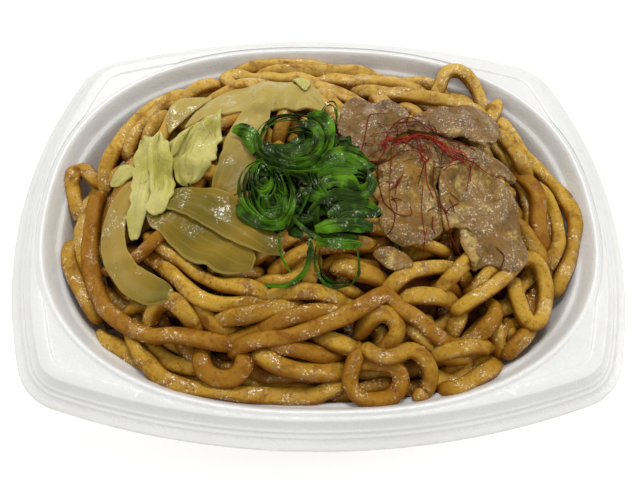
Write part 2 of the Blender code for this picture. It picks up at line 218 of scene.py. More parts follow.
# The noodles that show most, from the bottom up: how far below the heap's surface each is laid,
# and its route, all in mm. A third number lifts that point above where it would rest.
SHOWN_NOODLES = (
    (4.0, ((-84, -50), (-80, -55), (-75, -57.5), (-71, -60), (-67, -64), (-63, -67))),
    (4.5, ((-78, -38), (-74, -47), (-68, -53), (-58, -62), (-48, -66), (-34, -66), (-24, -70))),
    (4.0, ((-36, -60), (-35.5, -70))),
    (4.0, ((-6.5, -58), (-7, -68))),
    (4.0, ((-17.5, -60), (-18, -67))),
    (4.5, ((8, -60), (0, -64), (-14, -62), (-30, -60), (-40, -64))),
    (
        2.5,
        (
            (-30, -62), (-23, -63.7), (-19.7, -66.3), (-15, -68.4), (-9, -69.7), (-3, -70), (2, -69.4),
            (6, -68), (9, -66), (14, -62),
        ),
    ),
    (
        1.5,
        (
            (-72, -50), (-68.5, -57), (-66, -61), (-63, -64.5), (-59.5, -68.3), (-54.6, -71.7),
            (-49, -73.5), (-42, -74.5), (-35, -75.5), (-27, -76.3), (-20, -76.5), (-11, -76.7),
            (-4, -76.7), (1, -75), (5.5, -73), (9, -70),
        ),
    ),
    (
        1.5,
        (
            (-44, -57), (-43.4, -62), (-43, -66), (-41, -69.5), (-37, -71.5), (-32, -71.5), (-28.8, -69),
            (-28, -65.5), (-30, -62.5), (-34, -61),
        ),
    ),
    (4.0, ((34, -64), (40, -70), (46, -72), (50, -69.5), (54.5, -66.5), (58, -64.5), (62, -58))),
    (3.0, ((40, -74), (46, -75), (52, -72), (56, -69.7), (61, -66.5), (66, -60))),
    (4.0, ((69.8, -46), (70, -53), (69.5, -60))),
    (4.0, ((64, -47), (63.5, -54), (65, -61))),
    (4.0, ((78, -36), (79, -44), (75, -54), (66, -62))),
    (3.0, ((52, -45), (50, -49), (47.3, -53), (45, -58))),
    (3.5, ((36, -48), (37, -52), (36, -57), (32, -60))),
    (4.0, ((26, -50), (34, -58), (44, -63), (56, -62))),
    (3.0, ((-76, -46), (-73, -47), (-71, -45.5), (-67.5, -44), (-62, -43.5))),
    (3.0, ((-54, -40), (-54, -44.5), (-49, -48.5), (-44, -53), (-38, -56.5), (-32, -57.5), (-26, -60))),
    (
        1.8,
        (
            (-52, -42), (-47, -46), (-41, -51.5), (-37.3, -55), (-32.7, -56), (-28, -56), (-23, -54),
            (-17, -52),
        ),
    ),
    (
        1.6,
        (
            (-40, -53), (-35.5, -52.5), (-29, -52.5), (-23, -51.5), (-17, -49.8), (-11, -49),
            (-6, -49.4), (0, -51),
        ),
    ),
    (
        1.2,
        (
            (-63.4, -55), (-63, -51), (-61, -47.5), (-57.5, -45.5), (-53.5, -46), (-50, -49), (-47, -52),
            (-43.5, -56),
        ),
    ),
    (3.0, ((-74, -20), (-69, -24), (-62, -28.5), (-57, -33), (-54, -39))),
    (3.0, ((-27, -39), (-20, -38.5), (-13.5, -39), (-9, -36), (-7.5, -31), (-8.5, -25), (-11, -18))),
    (2.5, ((-6.5, -46), (-5, -37.5), (-3.3, -33), (-4, -26))),
    (3.0, ((-2, -34), (6, -31.5), (13, -33.5), (20, -31))),
    (1.5, ((2, -35), (7, -35.5), (13, -37.5), (20, -38.5), (28, -40))),
    (
        0.5,
        (
            (-60, -30), (-57, -33.5), (-50, -41), (-44, -46), (-38, -48), (-32, -48), (-26, -47),
            (-18, -45), (-11, -44.6), (-4, -45), (3, -46), (9, -46.5), (15, -46), (21, -43.5),
            (27, -39.5), (32, -36.5), (39, -34.5), (45, -34), (51, -35), (56, -38),
        ),
    ),
    (
        0.0,
        (
            (-67, -16), (-64, -20), (-58, -26), (-50.5, -32), (-44.5, -37.2), (-38, -40.5), (-31, -42),
            (-24, -43.5), (-19, -46),
        ),
    ),
    (0.5, ((-90, 12), (-94, 4), (-95.5, -8), (-94.5, -20), (-91, -30), (-87, -38), (-82, -46))),
    (2.5, ((-99, -12), (-98, -22), (-94, -31), (-88, -40), (-83, -48))),
    (
        -0.5,
        (
            (-88, 14), (-90, 4), (-90, -10), (-89, -22), (-86, -33), (-83, -39.5), (-80, -44.5),
            (-76.5, -48), (-72, -51.5), (-67, -54.5), (-61, -56.8), (-55, -57), (-49, -58), (-44, -59),
            (-39, -60), (-34, -59.8), (-29.5, -58.3), (-25, -57), (-20.5, -56), (-14.5, -54),
            (-9, -52.5), (-3, -51.5), (2, -50.7), (7, -50), (12, -48),
        ),
    ),
    (
        1.5,
        (
            (-4, -56), (1, -59), (5.5, -60.8), (11.5, -61.5), (16.5, -61), (20, -59), (20.8, -55.8),
            (18.5, -53.5),
        ),
    ),
    (
        0.0,
        (
            (10, -57), (12.5, -55.5), (16, -53), (20, -51.6), (23.5, -52.6), (25.3, -55.5), (25, -58.6),
            (22.8, -61), (19, -62.8), (16, -64),
        ),
    ),
    (
        -0.8,
        (
            (-34, -63), (-27.7, -61), (-20.5, -60), (-13.3, -59.5), (-7.5, -58), (-1.6, -56),
            (4.2, -54.2), (10, -51.5), (16, -48.2), (21, -45.4), (24.5, -47), (27.5, -50.3),
            (32.5, -53.2), (37.2, -56.8), (42, -59.2), (47, -60), (52, -58.7), (57.3, -55), (61.2, -51),
            (62.9, -46.5), (62, -42),
        ),
    ),
    (
        0.3,
        (
            (12.6, -58), (12, -63), (10, -67.5), (8.6, -72), (9.6, -75.6), (13, -78), (18, -78.8),
            (23.2, -77.4), (26.4, -74), (26.3, -70), (23.2, -67.4), (18.6, -66.4), (14, -66.6),
            (11, -67.5),
        ),
    ),
    (0.8, ((34, -66), (36.5, -64.2), (42, -63.3), (47, -62.3), (52.3, -61), (57.3, -59.8), (61, -60))),
    (
        -1.0,
        (
            (13.5, -60), (15.5, -63.2), (18.5, -65.3), (22.5, -65.8), (26.5, -64.3), (29.8, -63.2),
            (33, -64.3), (35.8, -67), (37.2, -70), (36.6, -73.5), (34.3, -76.3), (30.5, -77.5),
        ),
    ),
    (1.0, ((26, -46.5), (30, -45.5), (35, -44.9), (40, -44.5), (45, -44.3), (49.5, -46))),
    (2.0, ((38, -40), (46, -39), (52, -41))),
    (1.0, ((52, -43), (54.5, -40.5), (57.3, -37.5), (60.5, -34.7), (64, -32.3), (69, -29))),
    (
        -0.8,
        (
            (46, -49.2), (51.3, -46.5), (56.7, -43.5), (60.8, -40.5), (65.2, -37), (69.5, -33),
            (73.3, -28.9), (76.8, -26.8), (80.3, -26.8), (83.2, -29.2), (84.5, -33.5), (84.2, -38.5),
            (83, -43.5), (81.3, -47.8), (78.8, -50.6), (76, -51.2), (73.8, -48.8), (72.4, -45),
            (71.6, -41), (71.8, -36.8), (73, -33),
        ),
    ),
    (1.5, ((74, -6), (78, -12), (82, -19), (86, -25), (89, -32))),
    (0.5, ((80, 22), (85, 16), (88.5, 8), (88.5, 0), (86.5, -8), (87, -16), (91, -23))),
    (1.0, ((91, 14), (94.5, 6), (96.5, -4), (95, -14), (91, -22), (88, -28))),
    (
        0.0,
        (
            (74, 52), (80, 47), (84, 38), (86.5, 28), (91, 22), (97, 16), (101.5, 8), (103.3, -2),
            (102.5, -11), (99.5, -20), (94, -29), (90, -37),
        ),
    ),
    (1.0, ((70, 44), (77, 38), (81, 30), (83, 22), (88, 14))),
    (
        1.5,
        (
            (-97, -4), (-100, 4), (-102.5, 12), (-102, 18), (-98.5, 19.5), (-95, 15), (-90, 11),
            (-84, 13), (-78, 19),
        ),
    ),
    (0.0, ((-88, 6), (-88, 18), (-86, 29), (-80.5, 42), (-72.5, 53.5), (-63, 59.5), (-54, 62.5))),
    (0.5, ((-82, 24), (-79, 34), (-75.5, 42), (-69.5, 51), (-60, 56))),
    (0.5, ((-62, 57), (-54, 61.5), (-45, 65), (-38, 64))),
    (0.0, ((-34, 60), (-39.5, 62.5), (-42, 67), (-38, 70.6), (-31, 70.4), (-20, 68.5), (-10, 66), (2, 62))),
    (
        0.5,
        (
            (-40, 75), (-28, 78.5), (-12, 79.5), (0, 78.8), (11, 75), (21, 67), (34, 57), (50, 48),
            (62, 44),
        ),
    ),
    (1.5, ((-16, 72), (0, 70), (12, 66), (22, 62), (36, 62), (50, 62.5), (62, 60), (72, 54))),
    (2.5, ((-30, 74), (-14, 75), (2, 73), (18, 74), (34, 69), (48, 66), (60, 62))),
    (1.0, ((-10, 62), (0, 57), (9, 50.5), (16, 44), (24, 40))),
    (1.5, ((14, 60), (26, 55), (40, 51), (54, 50), (68, 48), (78, 42))),
    (
        0.5,
        (
            (50, 55), (54, 62, 1), (55.5, 66, 5.5), (58, 68.5, 11), (62.5, 69, 13.5), (67, 67.5, 11),
            (70.5, 64, 6.5), (73, 59, 1.5), (76, 52),
        ),
    ),
    (0.0, ((74, 44), (78, 51, 1), (80, 56, 5), (80.5, 59, 7))),
)

# ---------------------------------------------------------------- toppings

# Each slice: CAD node, its middle line with the full width at each point in mm, thickness, how much it
# arches across, depth and number of its lengthwise folds, how bluntly it starts and ends (0 pointed,
# 1 square), and how deep its surface wrinkles are, in mm
ONIONS = (
    (
        "onion_left_crescent",
        (
            (-69, 6, 9), (-75, -1, 10), (-78.6, -10, 10.5), (-79.2, -18, 11), (-77, -27, 11),
            (-71, -35.5, 11.5), (-63.5, -41, 12), (-54, -44.5, 12),
        ),
        (1.7, 1.6, 0.0, 0, 0.6, 1.0, 0.15),
    ),
    (
        "onion_back_outer",
        ((-62, 28, 5), (-60, 36, 9), (-55, 43.5, 9.5), (-46, 48, 6)),
        (1.6, 1.6, 0.0, 0, 0.2, 0.3, 0.2),
    ),
    (
        "onion_back_long",
        ((-55, 29, 8), (-46, 37.5, 14), (-33, 42.5, 19), (-19, 44, 20.5), (-7, 41, 18), (1, 35.5, 11)),
        (1.6, 1.4, 0.7, 1, 0.3, 0.6, 0.35),
    ),
    (
        "onion_pale_middle",
        ((-41, -11, 9), (-36.5, -4, 14), (-33, 6, 16), (-31, 17, 16), (-28, 28, 15), (-22, 37, 12)),
        (1.6, 1.0, 0.6, 1, 0.6, 0.6, 0.3),
    ),
    (
        "onion_front_lower",
        ((-65, -12, 9), (-58, -16, 13), (-50, -21, 17), (-41, -27, 19), (-32, -32, 17), (-25, -35.5, 12)),
        (1.7, 2.2, 0.0, 0, 1.0, 0.7, 0.12),
    ),
    (
        "onion_front_upper",
        (
            (-62, -8, 12), (-54, -8.5, 14), (-45, -11.5, 15.5), (-36, -17, 17), (-27, -23.5, 16),
            (-20, -28.5, 13), (-14.5, -32.5, 8),
        ),
        (1.7, 2.3, 0.0, 0, 1.0, 0.4, 0.12),
    ),
)
CABBAGES = (
    ("cabbage_scrap", ((-83.5, 5, 6), (-79, 8.5, 10), (-73, 9, 6)), (1.2, 1.4, 0.5, 1, 0.6, 0.5, 0.9)),
    (
        "cabbage_leaf",
        ((-50.5, -1.5, 15), (-50.5, 5.5, 18), (-49, 14.5, 16), (-45, 24.5, 12.5), (-41, 35, 5)),
        (1.0, 2.4, 2.0, 2, 0.8, 0.1, 0.9),
    ),
    (
        "cabbage_green_scrap",
        ((-10.5, 59, 4), (-9, 54, 7), (-7.5, 48, 7), (-7, 44, 4)),
        (1.2, 1.2, 0.8, 1, 0.6, 0.6, 1.0),
    ),
    ("cabbage_frill", ((-60.5, 9, 5), (-58, 18, 8), (-51, 28, 6)), (1.2, 0.8, 1.2, 2, 0.4, 0.3, 1.1)),
    (
        "cabbage_strip",
        (
            (-73, 27, 9), (-70, 17.5, 10.5), (-69, 7.5, 10.5), (-69, -2, 10.5), (-69.5, -12, 10),
            (-70.5, -21.5, 9),
        ),
        (1.1, 1.4, 2.0, 1, 0.6, 0.7, 1.1),
    ),
    (
        "cabbage_strip_right",
        ((-65, 25, 8), (-64, 14, 10.5), (-62, 4, 11), (-61, -6, 11.5), (-61, -15.5, 11.5)),
        (1.1, 1.3, 2.0, 2, 0.5, 1.0, 1.0),
    ),
)
MEATS = (
    (
        "meat_right_middle",
        (
            (27, 12, 7), (36, 12.5, 12), (45, 9.5, 20), (54, 12, 21), (64, 11.5, 15), (72, 10.5, 13),
            (78, 7, 7),
        ),
        (1.6, 1.4, 0.8, 2, 0.6, 0.5, 0.8),
    ),
    (
        "meat_right_back",
        ((30, 24.5, 6), (38, 26, 11), (46, 28.5, 16), (56, 31.5, 21), (66, 33, 26), (75, 33.5, 22)),
        (1.6, 1.7, 0.7, 2, 0.4, 0.6, 0.7),
    ),
    (
        "meat_front_curl",
        ((17.5, -31, 6), (23, -32.8, 9), (28, -34.5, 8), (31.5, -36, 5)),
        (1.5, 1.6, 0.3, 1, 0.5, 0.4, 0.5),
    ),
    (
        "meat_left_front",
        ((32.5, 11, 19), (32, 3, 25.5), (31.7, -10, 26), (31, -21, 25), (31.5, -28.5, 21)),
        (1.6, 1.4, 1.2, 3, 0.8, 0.85, 0.9),
    ),
    (
        "meat_left_back",
        ((16, 43, 14), (16.5, 37, 21), (20, 30, 29), (19, 21, 24), (20, 12, 16), (22, 5, 9)),
        (1.5, 1.0, 0.8, 2, 0.7, 0.6, 0.8),
    ),
    (
        "meat_right_front",
        (
            (62, 6, 28), (60.5, 0, 34.5), (58, -8.5, 32.5), (61, -17, 36.5), (60.5, -24, 31.5),
            (56.5, -29.5, 21), (53.5, -35.5, 9),
        ),
        (1.7, 1.8, 1.2, 3, 0.85, 0.4, 0.9),
    ),
)

# The nodes that a slice stands for, where that isn't the node of its own name
STANDS_FOR = {"cabbage_strip_right": ["cabbage_strip"], "cabbage_green_scrap": []}

# How far above the heap a slice's middle stays at least, in mm, and the slices that others hold higher
LEAST_LIFT = 1.6
TOPPINGS_FRONT = -0.038
TOPPINGS_REACH = 0.8
HELD_LIFT = {"meat_right_back": 4.6, "meat_right_front": 2.4}

# For each kind of slice: how uneven its edges are, how far it sags between what holds it, in metres, and
# the number of its lengthwise veins
RAGGED = {"onion": 0.03, "cabbage": 0.12, "meat": 0.10}
SAG = {"onion": 0.00004, "cabbage": 0.00022, "meat": 0.00012}
VEINS = {"onion": 11, "cabbage": 5, "meat": 9}

# How fat each slice of meat is, from 0 to 1
FATNESS = {
    "meat_left_back": 0.12,
    "meat_right_back": 0.22,
    "meat_right_middle": 0.30,
    "meat_front_curl": 0.55,
    "meat_left_front": 0.62,
    "meat_right_front": 0.50,
}

# Loops of spring onion: centre, half sizes, height above the heap in mm, turn, how steeply it leans and
# towards which direction in degrees, number of strands nested in it, how far apart they are in mm, the
# part of the circle they take as start and sweep in degrees, their width share, and how much they stand
ONION_LOOPS = (
    ((-20.5, -9.5), (9.6, 14.6), 7.0, 14, 6, 200, 7, 0.80, 60, 352, 1.1, 66),
    ((-22.5, -4.5), (4.8, 8.2), 7.0, 12, 8, 180, 4, 0.9, 0, 350, 1.0, 60),
    ((-18.5, -15.0), (4.9, 6.8), 6.0, 20, 8, 180, 4, 0.9, 90, 340, 1.0, 56),
    ((-12.0, 12.5), (13.6, 13.4), 10.0, 0, 4, 270, 4, 0.7, 60, 200, 1.0, 66),
    ((-10.5, 11.5), (12.6, 13.2), 9.5, -6, 6, 270, 6, 1.0, 235, 205, 1.0, 60),
    ((-9.5, 9.5), (9.6, 8.4), 10.0, -8, 6, 270, 2, 0.9, 200, 300, 0.9, 60),
    ((-10.0, 3.0), (14.5, 6.0), 8.5, -6, 4, 270, 5, 0.9, 190, 160, 1.0, 60),
    ((2.4, 24.8), (3.6, 9.0), 7.5, -6, 6, 90, 2, 0.7, 0, 355, 0.75, 66),
    ((12.2, -7.4), (3.8, 4.2), 11.0, 20, 12, 250, 3, 0.8, 20, 320, 1.0, 50),
    ((0.5, -8.0), (5.0, 9.5), 6.5, 20, 6, 200, 3, 1.3, 60, 300, 1.2, 60),
)

# Broad pieces of its leaf: the route in mm with the height above the heap, width, and how far it is
# tipped on edge in degrees
ONION_STRIPS = (
    (((-22, 7.5, 9), (-14, 6.6, 10), (-4.5, 7.2, 9.5)), 4.8, 10),
    (((-6, 24.5, 9), (0, 22.5, 10.5), (2.6, 15, 10.5), (1.5, 6, 8.5)), 4.6, 35),
    (((-9, 20.5, 9), (-3.5, 18, 10.5), (-1.5, 11, 10.5), (-3, 5, 8.5)), 4.2, 25),
    (((-35, 20.5, 7), (-30, 18, 8.5), (-24, 13, 8)), 5.4, 15),
    (((-31, 17, 6.5), (-28, 12, 7.5), (-26, 8, 7)), 3.6, 30),
    (((-1, 3, 9), (5, 5, 10.5), (11, 4.6, 11), (16, 2, 9.5)), 4.4, 50),
    (((-2, -0.5, 9), (4, 2.0, 11), (10, 1.2, 11.5), (16.5, -2, 10)), 5.6, 25),
    (((-2, -4.5, 9), (3, -3, 11), (8, -3.6, 11.8), (12, -3.4, 11.5)), 6.2, 12),
    (((-1.5, -9, 8.5), (3, -8, 11), (8, -8.5, 11.5), (12, -11, 10.5)), 6.2, 8),
    (
        ((0, -13, 8), (5, -12.8, 10), (10, -14, 10.4), (15, -12, 10), (17.2, -7, 10.4), (16, -3, 11)),
        4.6,
        30,
    ),
    (((-9, -9.5, 7.5), (-5, -13, 9), (0, -14.5, 9), (5, -13, 8.5)), 4.2, 20),
    (((-6, -19, 7.5), (-2, -15.5, 8.5), (4, -13.5, 9)), 1.6, 50),
    (((1, -21, 7.5), (7, -17.5, 9), (13, -16.8, 9.5), (20, -18.5, 8)), 4.4, 15),
    (((4, -22, 8), (10, -20, 9), (16, -20, 8.5), (20, -18.5, 8)), 3.4, 20),
    (((-3.5, -25.2, 7), (3, -24.6, 8.5), (10, -24.3, 8.5), (17, -24.3, 7)), 5.4, 12),
    (((-3, -29.5, 6), (3, -30.2, 6.6), (8, -30.5, 6.4), (13, -29.8, 5)), 3.4, 35),
    (((-2, -27.6, 6), (5, -28, 7), (12, -27.6, 5.5)), 2.6, 40),
    (((-31, -14, 6), (-28, -19, 6.8), (-22, -22.5, 7), (-14, -23.5, 6.5)), 5.0, 15),
    (((-11, -12, 8), (-11.5, -18, 8.5), (-13, -24, 7.5)), 2.4, 50),
    (((-10.5, -3, 8.5), (-6.5, -5, 9), (-5.5, -11, 8.5), (-9, -20, 7.5)), 2.2, 55),
    (((-12, -21, 7.5), (-6, -26.5, 7.5), (1, -30.5, 6.5)), 1.8, 55),
    (
        (
            (-5.6, -27, 5.5), (-5.3, -33, 4.8), (-7, -39, 4.6), (-10.7, -42.8, 4.6), (-15.4, -44.3, 4.6),
            (-21, -43.6, 4.4),
        ),
        2.6,
        35,
    ),
    (
        ((-3.2, -30.5, 5.5), (-3.3, -38, 4.8), (-0.5, -43.3, 4.8), (3.2, -44.7, 4.8), (8.8, -44.2, 4.8)),
        1.5,
        60,
    ),
    (((8.8, -44.2, 4.8), (11.7, -40.3, 4.8), (11.7, -34, 4.8), (10, -30, 5.5), (4.4, -30.8, 5.5)), 1.5, 60),
    (
        ((-1.8, -31.5, 5.5), (-1.9, -37.4, 4.8), (0.3, -41.9, 4.8), (3.6, -43.4, 4.8), (8, -43, 4.8)),
        1.2,
        60,
    ),
    (((-15.6, -23, 6), (-16, -30, 5), (-14.4, -36, 4.8), (-11.6, -40, 4.6)), 1.1, 40),
)

# Chili threads laid on purpose: the route in mm, with the height above what lies under it
CHILI_THREADS = (
    (
        (22.5, 7.5, 1), (25, 18, 1.5), (28.5, 21, 2), (34.5, 20, 2.5), (39, 18, 3), (44.5, 18, 3),
        (51, 19.5, 2), (57, 19, 1), (61.5, 16.5, 1),
    ),
    ((26.6, 23, 1), (30.5, 26, 1.5), (36.2, 27.3, 1.5), (40, 23.5, 2), (41.3, 17.5, 3)),
    ((28, 25, 1), (33, 24, 2), (38, 26, 2), (43, 22, 2)),
    (
        (21.2, 30, 1), (18.5, 28.5, 1), (16.5, 18.5, 1), (14.8, 10.5, 1), (16.7, 5, 1), (20.5, 4.5, 1),
        (23.3, 9.5, 1), (25, 19, 1),
    ),
    ((25.2, 31, 1), (21.2, 30, 1)),
    ((40.2, 12.2, 2), (37.8, 12, 1.5), (36.5, 4.5, 1), (37.8, 2.2, 1), (41.2, 7.2, 1.5), (40.8, 12.2, 2)),
    ((39.5, 14, 2), (37.2, 10, 1.5), (37.0, 4.0, 1), (38.4, 3.0, 1), (40.4, 8, 1.5), (39.5, 14, 2)),
    ((37.7, 3, 1), (35.2, -4.6, 0.8)),
    ((38, 3, 1), (38.7, -4.5, 0.8), (40.5, -10, 0.8)),
    ((37, -5, 0.8), (36, -14, 0.8), (36.1, -23, 0.8), (35.8, -31.3, 0.8)),
    (
        (41.6, 3.6, 1), (41.3, -3, 0.8), (42.8, -12, 0.8), (44.7, -16, 0.8), (46.1, -22, 0.8),
        (49, -28, 0.8), (52.5, -36, 0.8),
    ),
    (
        (20.5, 5, 0.8), (20.6, -4, 0.8), (22, -11.6, 0.8), (25.4, -16.5, 0.8), (25, -21, 0.8),
        (23.5, -24.8, 0.8), (18.8, -28.4, 0.8), (15, -29.5, 0.8),
    ),
    (
        (25.8, 9.5, 0.8), (25.2, 2, 0.8), (24.3, -6, 0.8), (24.3, -12, 0.8), (25.5, -16, 0.8),
        (28.6, -17.4, 0.8), (32, -16.7, 0.8), (31.7, -13.5, 0.8),
    ),
    ((44.7, -16, 0.8), (46.4, -13.8, 0.8), (50, -11.5, 0.8)),
    ((41.5, 4.5, 1), (50, 6, 1), (56.8, 5.5, 1), (63, 4, 1), (70.5, 3, 1)),
    ((56, 4.4, 1), (55.8, -1.6, 0.8)),
    ((63.5, -27, 0.8), (66, -30.5, 0.8), (63.8, -35.5, 0.8)),
    ((14.6, 10, 0.8), (17.2, 4.6, 0.8), (22, 4.2, 0.8), (28.6, 8, 0.8)),
    ((26.8, -4.6, 0.8), (28.8, -2.3, 0.8), (25.6, -7, 0.8), (27.5, -5, 0.8)),
    ((40, -17, 0.8), (39.5, -21, 0.8), (40.6, -23.6, 0.8)),
    ((41, 17, 3), (34, 15.5, 2), (29, 14, 1.5), (26, 11, 1)),
    ((21, 13, 1), (25.5, 11.5, 1), (29, 14, 1)),
    ((38.5, 3.5, 1), (35, 8, 1), (28, 8, 1)),
)

# The thick twist of threads: its line with the height above what lies under it, and how many there are
CHILI_TWIST = (
    (24, 10, 1), (29.5, 15, 2), (36.3, 18.5, 3.5), (42, 16.5, 3.5), (48.2, 12, 2.5), (53, 6.5, 1.5),
    (56.5, 4.5, 1),
)
TWIST_THREADS = 14

# Groups of short loose threads: centre and spread in mm, how many, their lengths, and how high they arch
STRAY_THREADS = (
    ((54, 6), (3.5, 3.0), 14, (4, 13), (0.0, 1.2)),
    ((33, 23), (5.0, 2.5), 12, (5, 14), (0.0, 1.5)),
    ((39, 9), (2.5, 4.0), 8, (4, 10), (0.0, 1.5)),
    ((24, 12), (2.5, 2.5), 8, (3, 9), (0.0, 1.0)),
    ((47, 19), (5.0, 2.0), 6, (6, 14), (0.0, 1.5)),
    ((28, -6), (5.0, 8.0), 5, (4, 9), (0.0, 0.4)),
    ((46, -16), (8.0, 9.0), 6, (4, 9), (0.0, 0.4)),
)


def colour_property(name, description, default):
    """A colour that the sidebar shows."""
    return bpy.props.FloatVectorProperty(
        name=name, description=description, size=3, subtype="COLOR", default=default
    )


def length_property(name, description, default):
    """A length that the sidebar shows."""
    return bpy.props.FloatProperty(
        name=name, description=description, default=default, min=0.0, subtype="DISTANCE", unit="LENGTH"
    )


class YakiUdonSizes(bpy.types.PropertyGroup):
    """Sizes of the noodles and the fine toppings"""

    noodle_width: length_property("Noodle width", "Width of a noodle", 6.3 * MM)
    noodle_height: length_property("Noodle height", "Height of a noodle", 4.9 * MM)
    thread_thickness: length_property("Chili thread thickness", "Thickness of a chili thread", 0.36 * MM)
    pepper_size: length_property("Pepper size", "Size of the largest pepper specks", 0.55 * MM)
    under_noodles: bpy.props.IntProperty(
        name="Noodles tried below",
        description="How many noodles are tried under the ones that show",
        default=260,
        min=0,
    )
    seed: bpy.props.IntProperty(name="Seed", description="Start of the random draws", default=7)


class YakiUdonColours(bpy.types.PropertyGroup):
    """Colours of the tray and the food"""

    foam: colour_property("Foam", "White of the tray", (0.715, 0.714, 0.695))
    noodle_pale: colour_property("Pale noodle", "Noodle with little sauce on it", (0.480, 0.280, 0.031))
    noodle: colour_property("Noodle", "Noodle glazed with sauce", (0.305, 0.146, 0.009))
    sauce: colour_property("Sauce", "Brown where the sauce gathers", (0.170, 0.048, 0.002))
    onion: colour_property("Onion", "Cooked onion", (0.232, 0.150, 0.015))
    cabbage: colour_property("Cabbage", "Cooked cabbage", (0.50, 0.445, 0.145))
    meat: colour_property("Meat", "Fried lean meat", (0.215, 0.118, 0.036))
    fat: colour_property("Fat", "Fat of the meat", (0.44, 0.30, 0.085))
    leaf: colour_property("Spring onion", "Green of the spring onion", (0.043, 0.126, 0.002))
    chili: colour_property("Chili", "Red of the chili threads", (0.44, 0.026, 0.006))


def sizes():
    """The sizes now set in the scene."""
    return bpy.context.scene.yaki_udon_sizes


def colours():
    """The colours now set in the scene."""
    return bpy.context.scene.yaki_udon_colours


# ---------------------------------------------------------------- finishes


class Finish:
    """A material with a Principled shader, and short calls for the nodes that feed it."""

    def __init__(self, name, **sockets):
        self.material = bpy.data.materials.new(name)
        self.material.use_nodes = True
        self.nodes = self.material.node_tree.nodes
        self.links = self.material.node_tree.links
        self.shader = self.nodes["Principled BSDF"]
        for socket, value in sockets.items():
            self.shader.inputs[socket.replace("_", " ").title()].default_value = value
        self.place = self.nodes.new("ShaderNodeTexCoord").outputs["Object"]

    def join(self, value, socket):
        """Feeds a socket from another one, or sets it to a plain value."""
        if isinstance(value, bpy.types.NodeSocket):
            self.links.new(value, socket)
        elif isinstance(value, (int, float)):
            socket.default_value = value
        else:
            socket.default_value = (*value, 1.0)[: len(socket.default_value)]

    def noise(self, scale, detail=3.0, roughness=0.55, distortion=0.0):
        """A cloudy pattern from 0 to 1. Scale is in cells for each metre."""
        node = self.nodes.new("ShaderNodeTexNoise")
        node.inputs["Scale"].default_value = scale
        node.inputs["Detail"].default_value = detail
        node.inputs["Roughness"].default_value = roughness
        node.inputs["Distortion"].default_value = distortion
        self.links.new(self.place, node.inputs["Vector"])
        return node.outputs["Fac"]

    def cells(self, scale):
        """Distance to the nearest of scattered points."""
        node = self.nodes.new("ShaderNodeTexVoronoi")
        node.inputs["Scale"].default_value = scale
        self.links.new(self.place, node.inputs["Vector"])
        return node.outputs["Distance"]

    def streaks(self, across, along):
        """Fine lines along a strand, from 0 to 1: how many go round it, and how they change along it."""
        join = self.nodes.new("ShaderNodeCombineXYZ")
        self.join(self.math("MULTIPLY", self.attribute("across"), across), join.inputs[0])
        self.join(self.math("MULTIPLY", self.attribute("along"), along), join.inputs[1])
        self.join(self.math("MULTIPLY", self.attribute("strand_shade"), 60.0), join.inputs[2])
        node = self.nodes.new("ShaderNodeTexNoise")
        node.inputs["Scale"].default_value = 1.0
        node.inputs["Detail"].default_value = 2.0
        self.links.new(join.outputs["Vector"], node.inputs["Vector"])
        return node.outputs["Fac"]

    def attribute(self, name):
        """A number kept at each point of the mesh."""
        node = self.nodes.new("ShaderNodeAttribute")
        node.attribute_name = name
        return node.outputs["Fac"]

    def ramp(self, value, low, high, start=0.0, end=1.0):
        """Value from low to high, turned into start to end with soft shoulders."""
        node = self.nodes.new("ShaderNodeMapRange")
        node.interpolation_type = "SMOOTHSTEP"
        self.join(value, node.inputs["Value"])
        node.inputs["From Min"].default_value = low
        node.inputs["From Max"].default_value = high
        node.inputs["To Min"].default_value = start
        node.inputs["To Max"].default_value = end
        return node.outputs["Result"]

    def math(self, operation, first, second=0.0):
        """Two numbers joined by this operation."""
        node = self.nodes.new("ShaderNodeMath")
        node.operation = operation
        self.join(first, node.inputs[0])
        self.join(second, node.inputs[1])
        return node.outputs["Value"]

    def mix(self, factor, first, second):
        """The first colour turned into the second by this share."""
        node = self.nodes.new("ShaderNodeMix")
        node.data_type = "RGBA"
        self.join(factor, node.inputs["Factor"])
        self.join(first, node.inputs[6])
        self.join(second, node.inputs[7])
        return node.outputs[2]

    def part(self, axis):
        """One coordinate of the place, in metres."""
        node = self.nodes.new("ShaderNodeSeparateXYZ")
        self.links.new(self.place, node.inputs["Vector"])
        return node.outputs[axis]

    def colour(self, value):
        self.join(value, self.shader.inputs["Base Color"])

    def roughness(self, value):
        self.join(value, self.shader.inputs["Roughness"])

    def bump(self, *layers):
        """Relief from (pattern, depth in metres) layers, the deepest first."""
        normal = None
        for pattern, depth in layers:
            node = self.nodes.new("ShaderNodeBump")
            node.inputs["Distance"].default_value = depth
            self.join(pattern, node.inputs["Height"])
            if normal:
                self.links.new(normal, node.inputs["Normal"])
            normal = node.outputs["Normal"]
        self.links.new(normal, self.shader.inputs["Normal"])
        self.links.new(normal, self.shader.inputs["Coat Normal"])

    def glints(self, most, low=0.50, high=0.62, scale=90):
        """A wet skin that lies in patches, and the fine relief that makes it glint."""
        self.wet = self.ramp(self.noise(scale, 2), low, high)
        self.join(self.math("MULTIPLY", self.wet, most), self.shader.inputs["Coat Weight"])
        return self.math("MULTIPLY", self.noise(780, 2, 0.6), self.ramp(self.wet, 0.0, 1.0, 0.25, 1.0))

    def droplets(self, base, highlight_colour, share=1.0, low=0.585, high=0.66):
        """Fine pale specks painted into the colour where the skin is wet: painted highlights that stand for glints of
        light on it.
        """
        spark_spots = self.ramp(self.noise(1150, 1.5, 0.5), low, high, 0.0, share)
        return self.mix(self.math("MULTIPLY", spark_spots, self.wet), base, highlight_colour)

    def shine(self, level):
        """How strongly the plain surface reflects."""
        self.shader.inputs["Specular IOR Level"].default_value = level

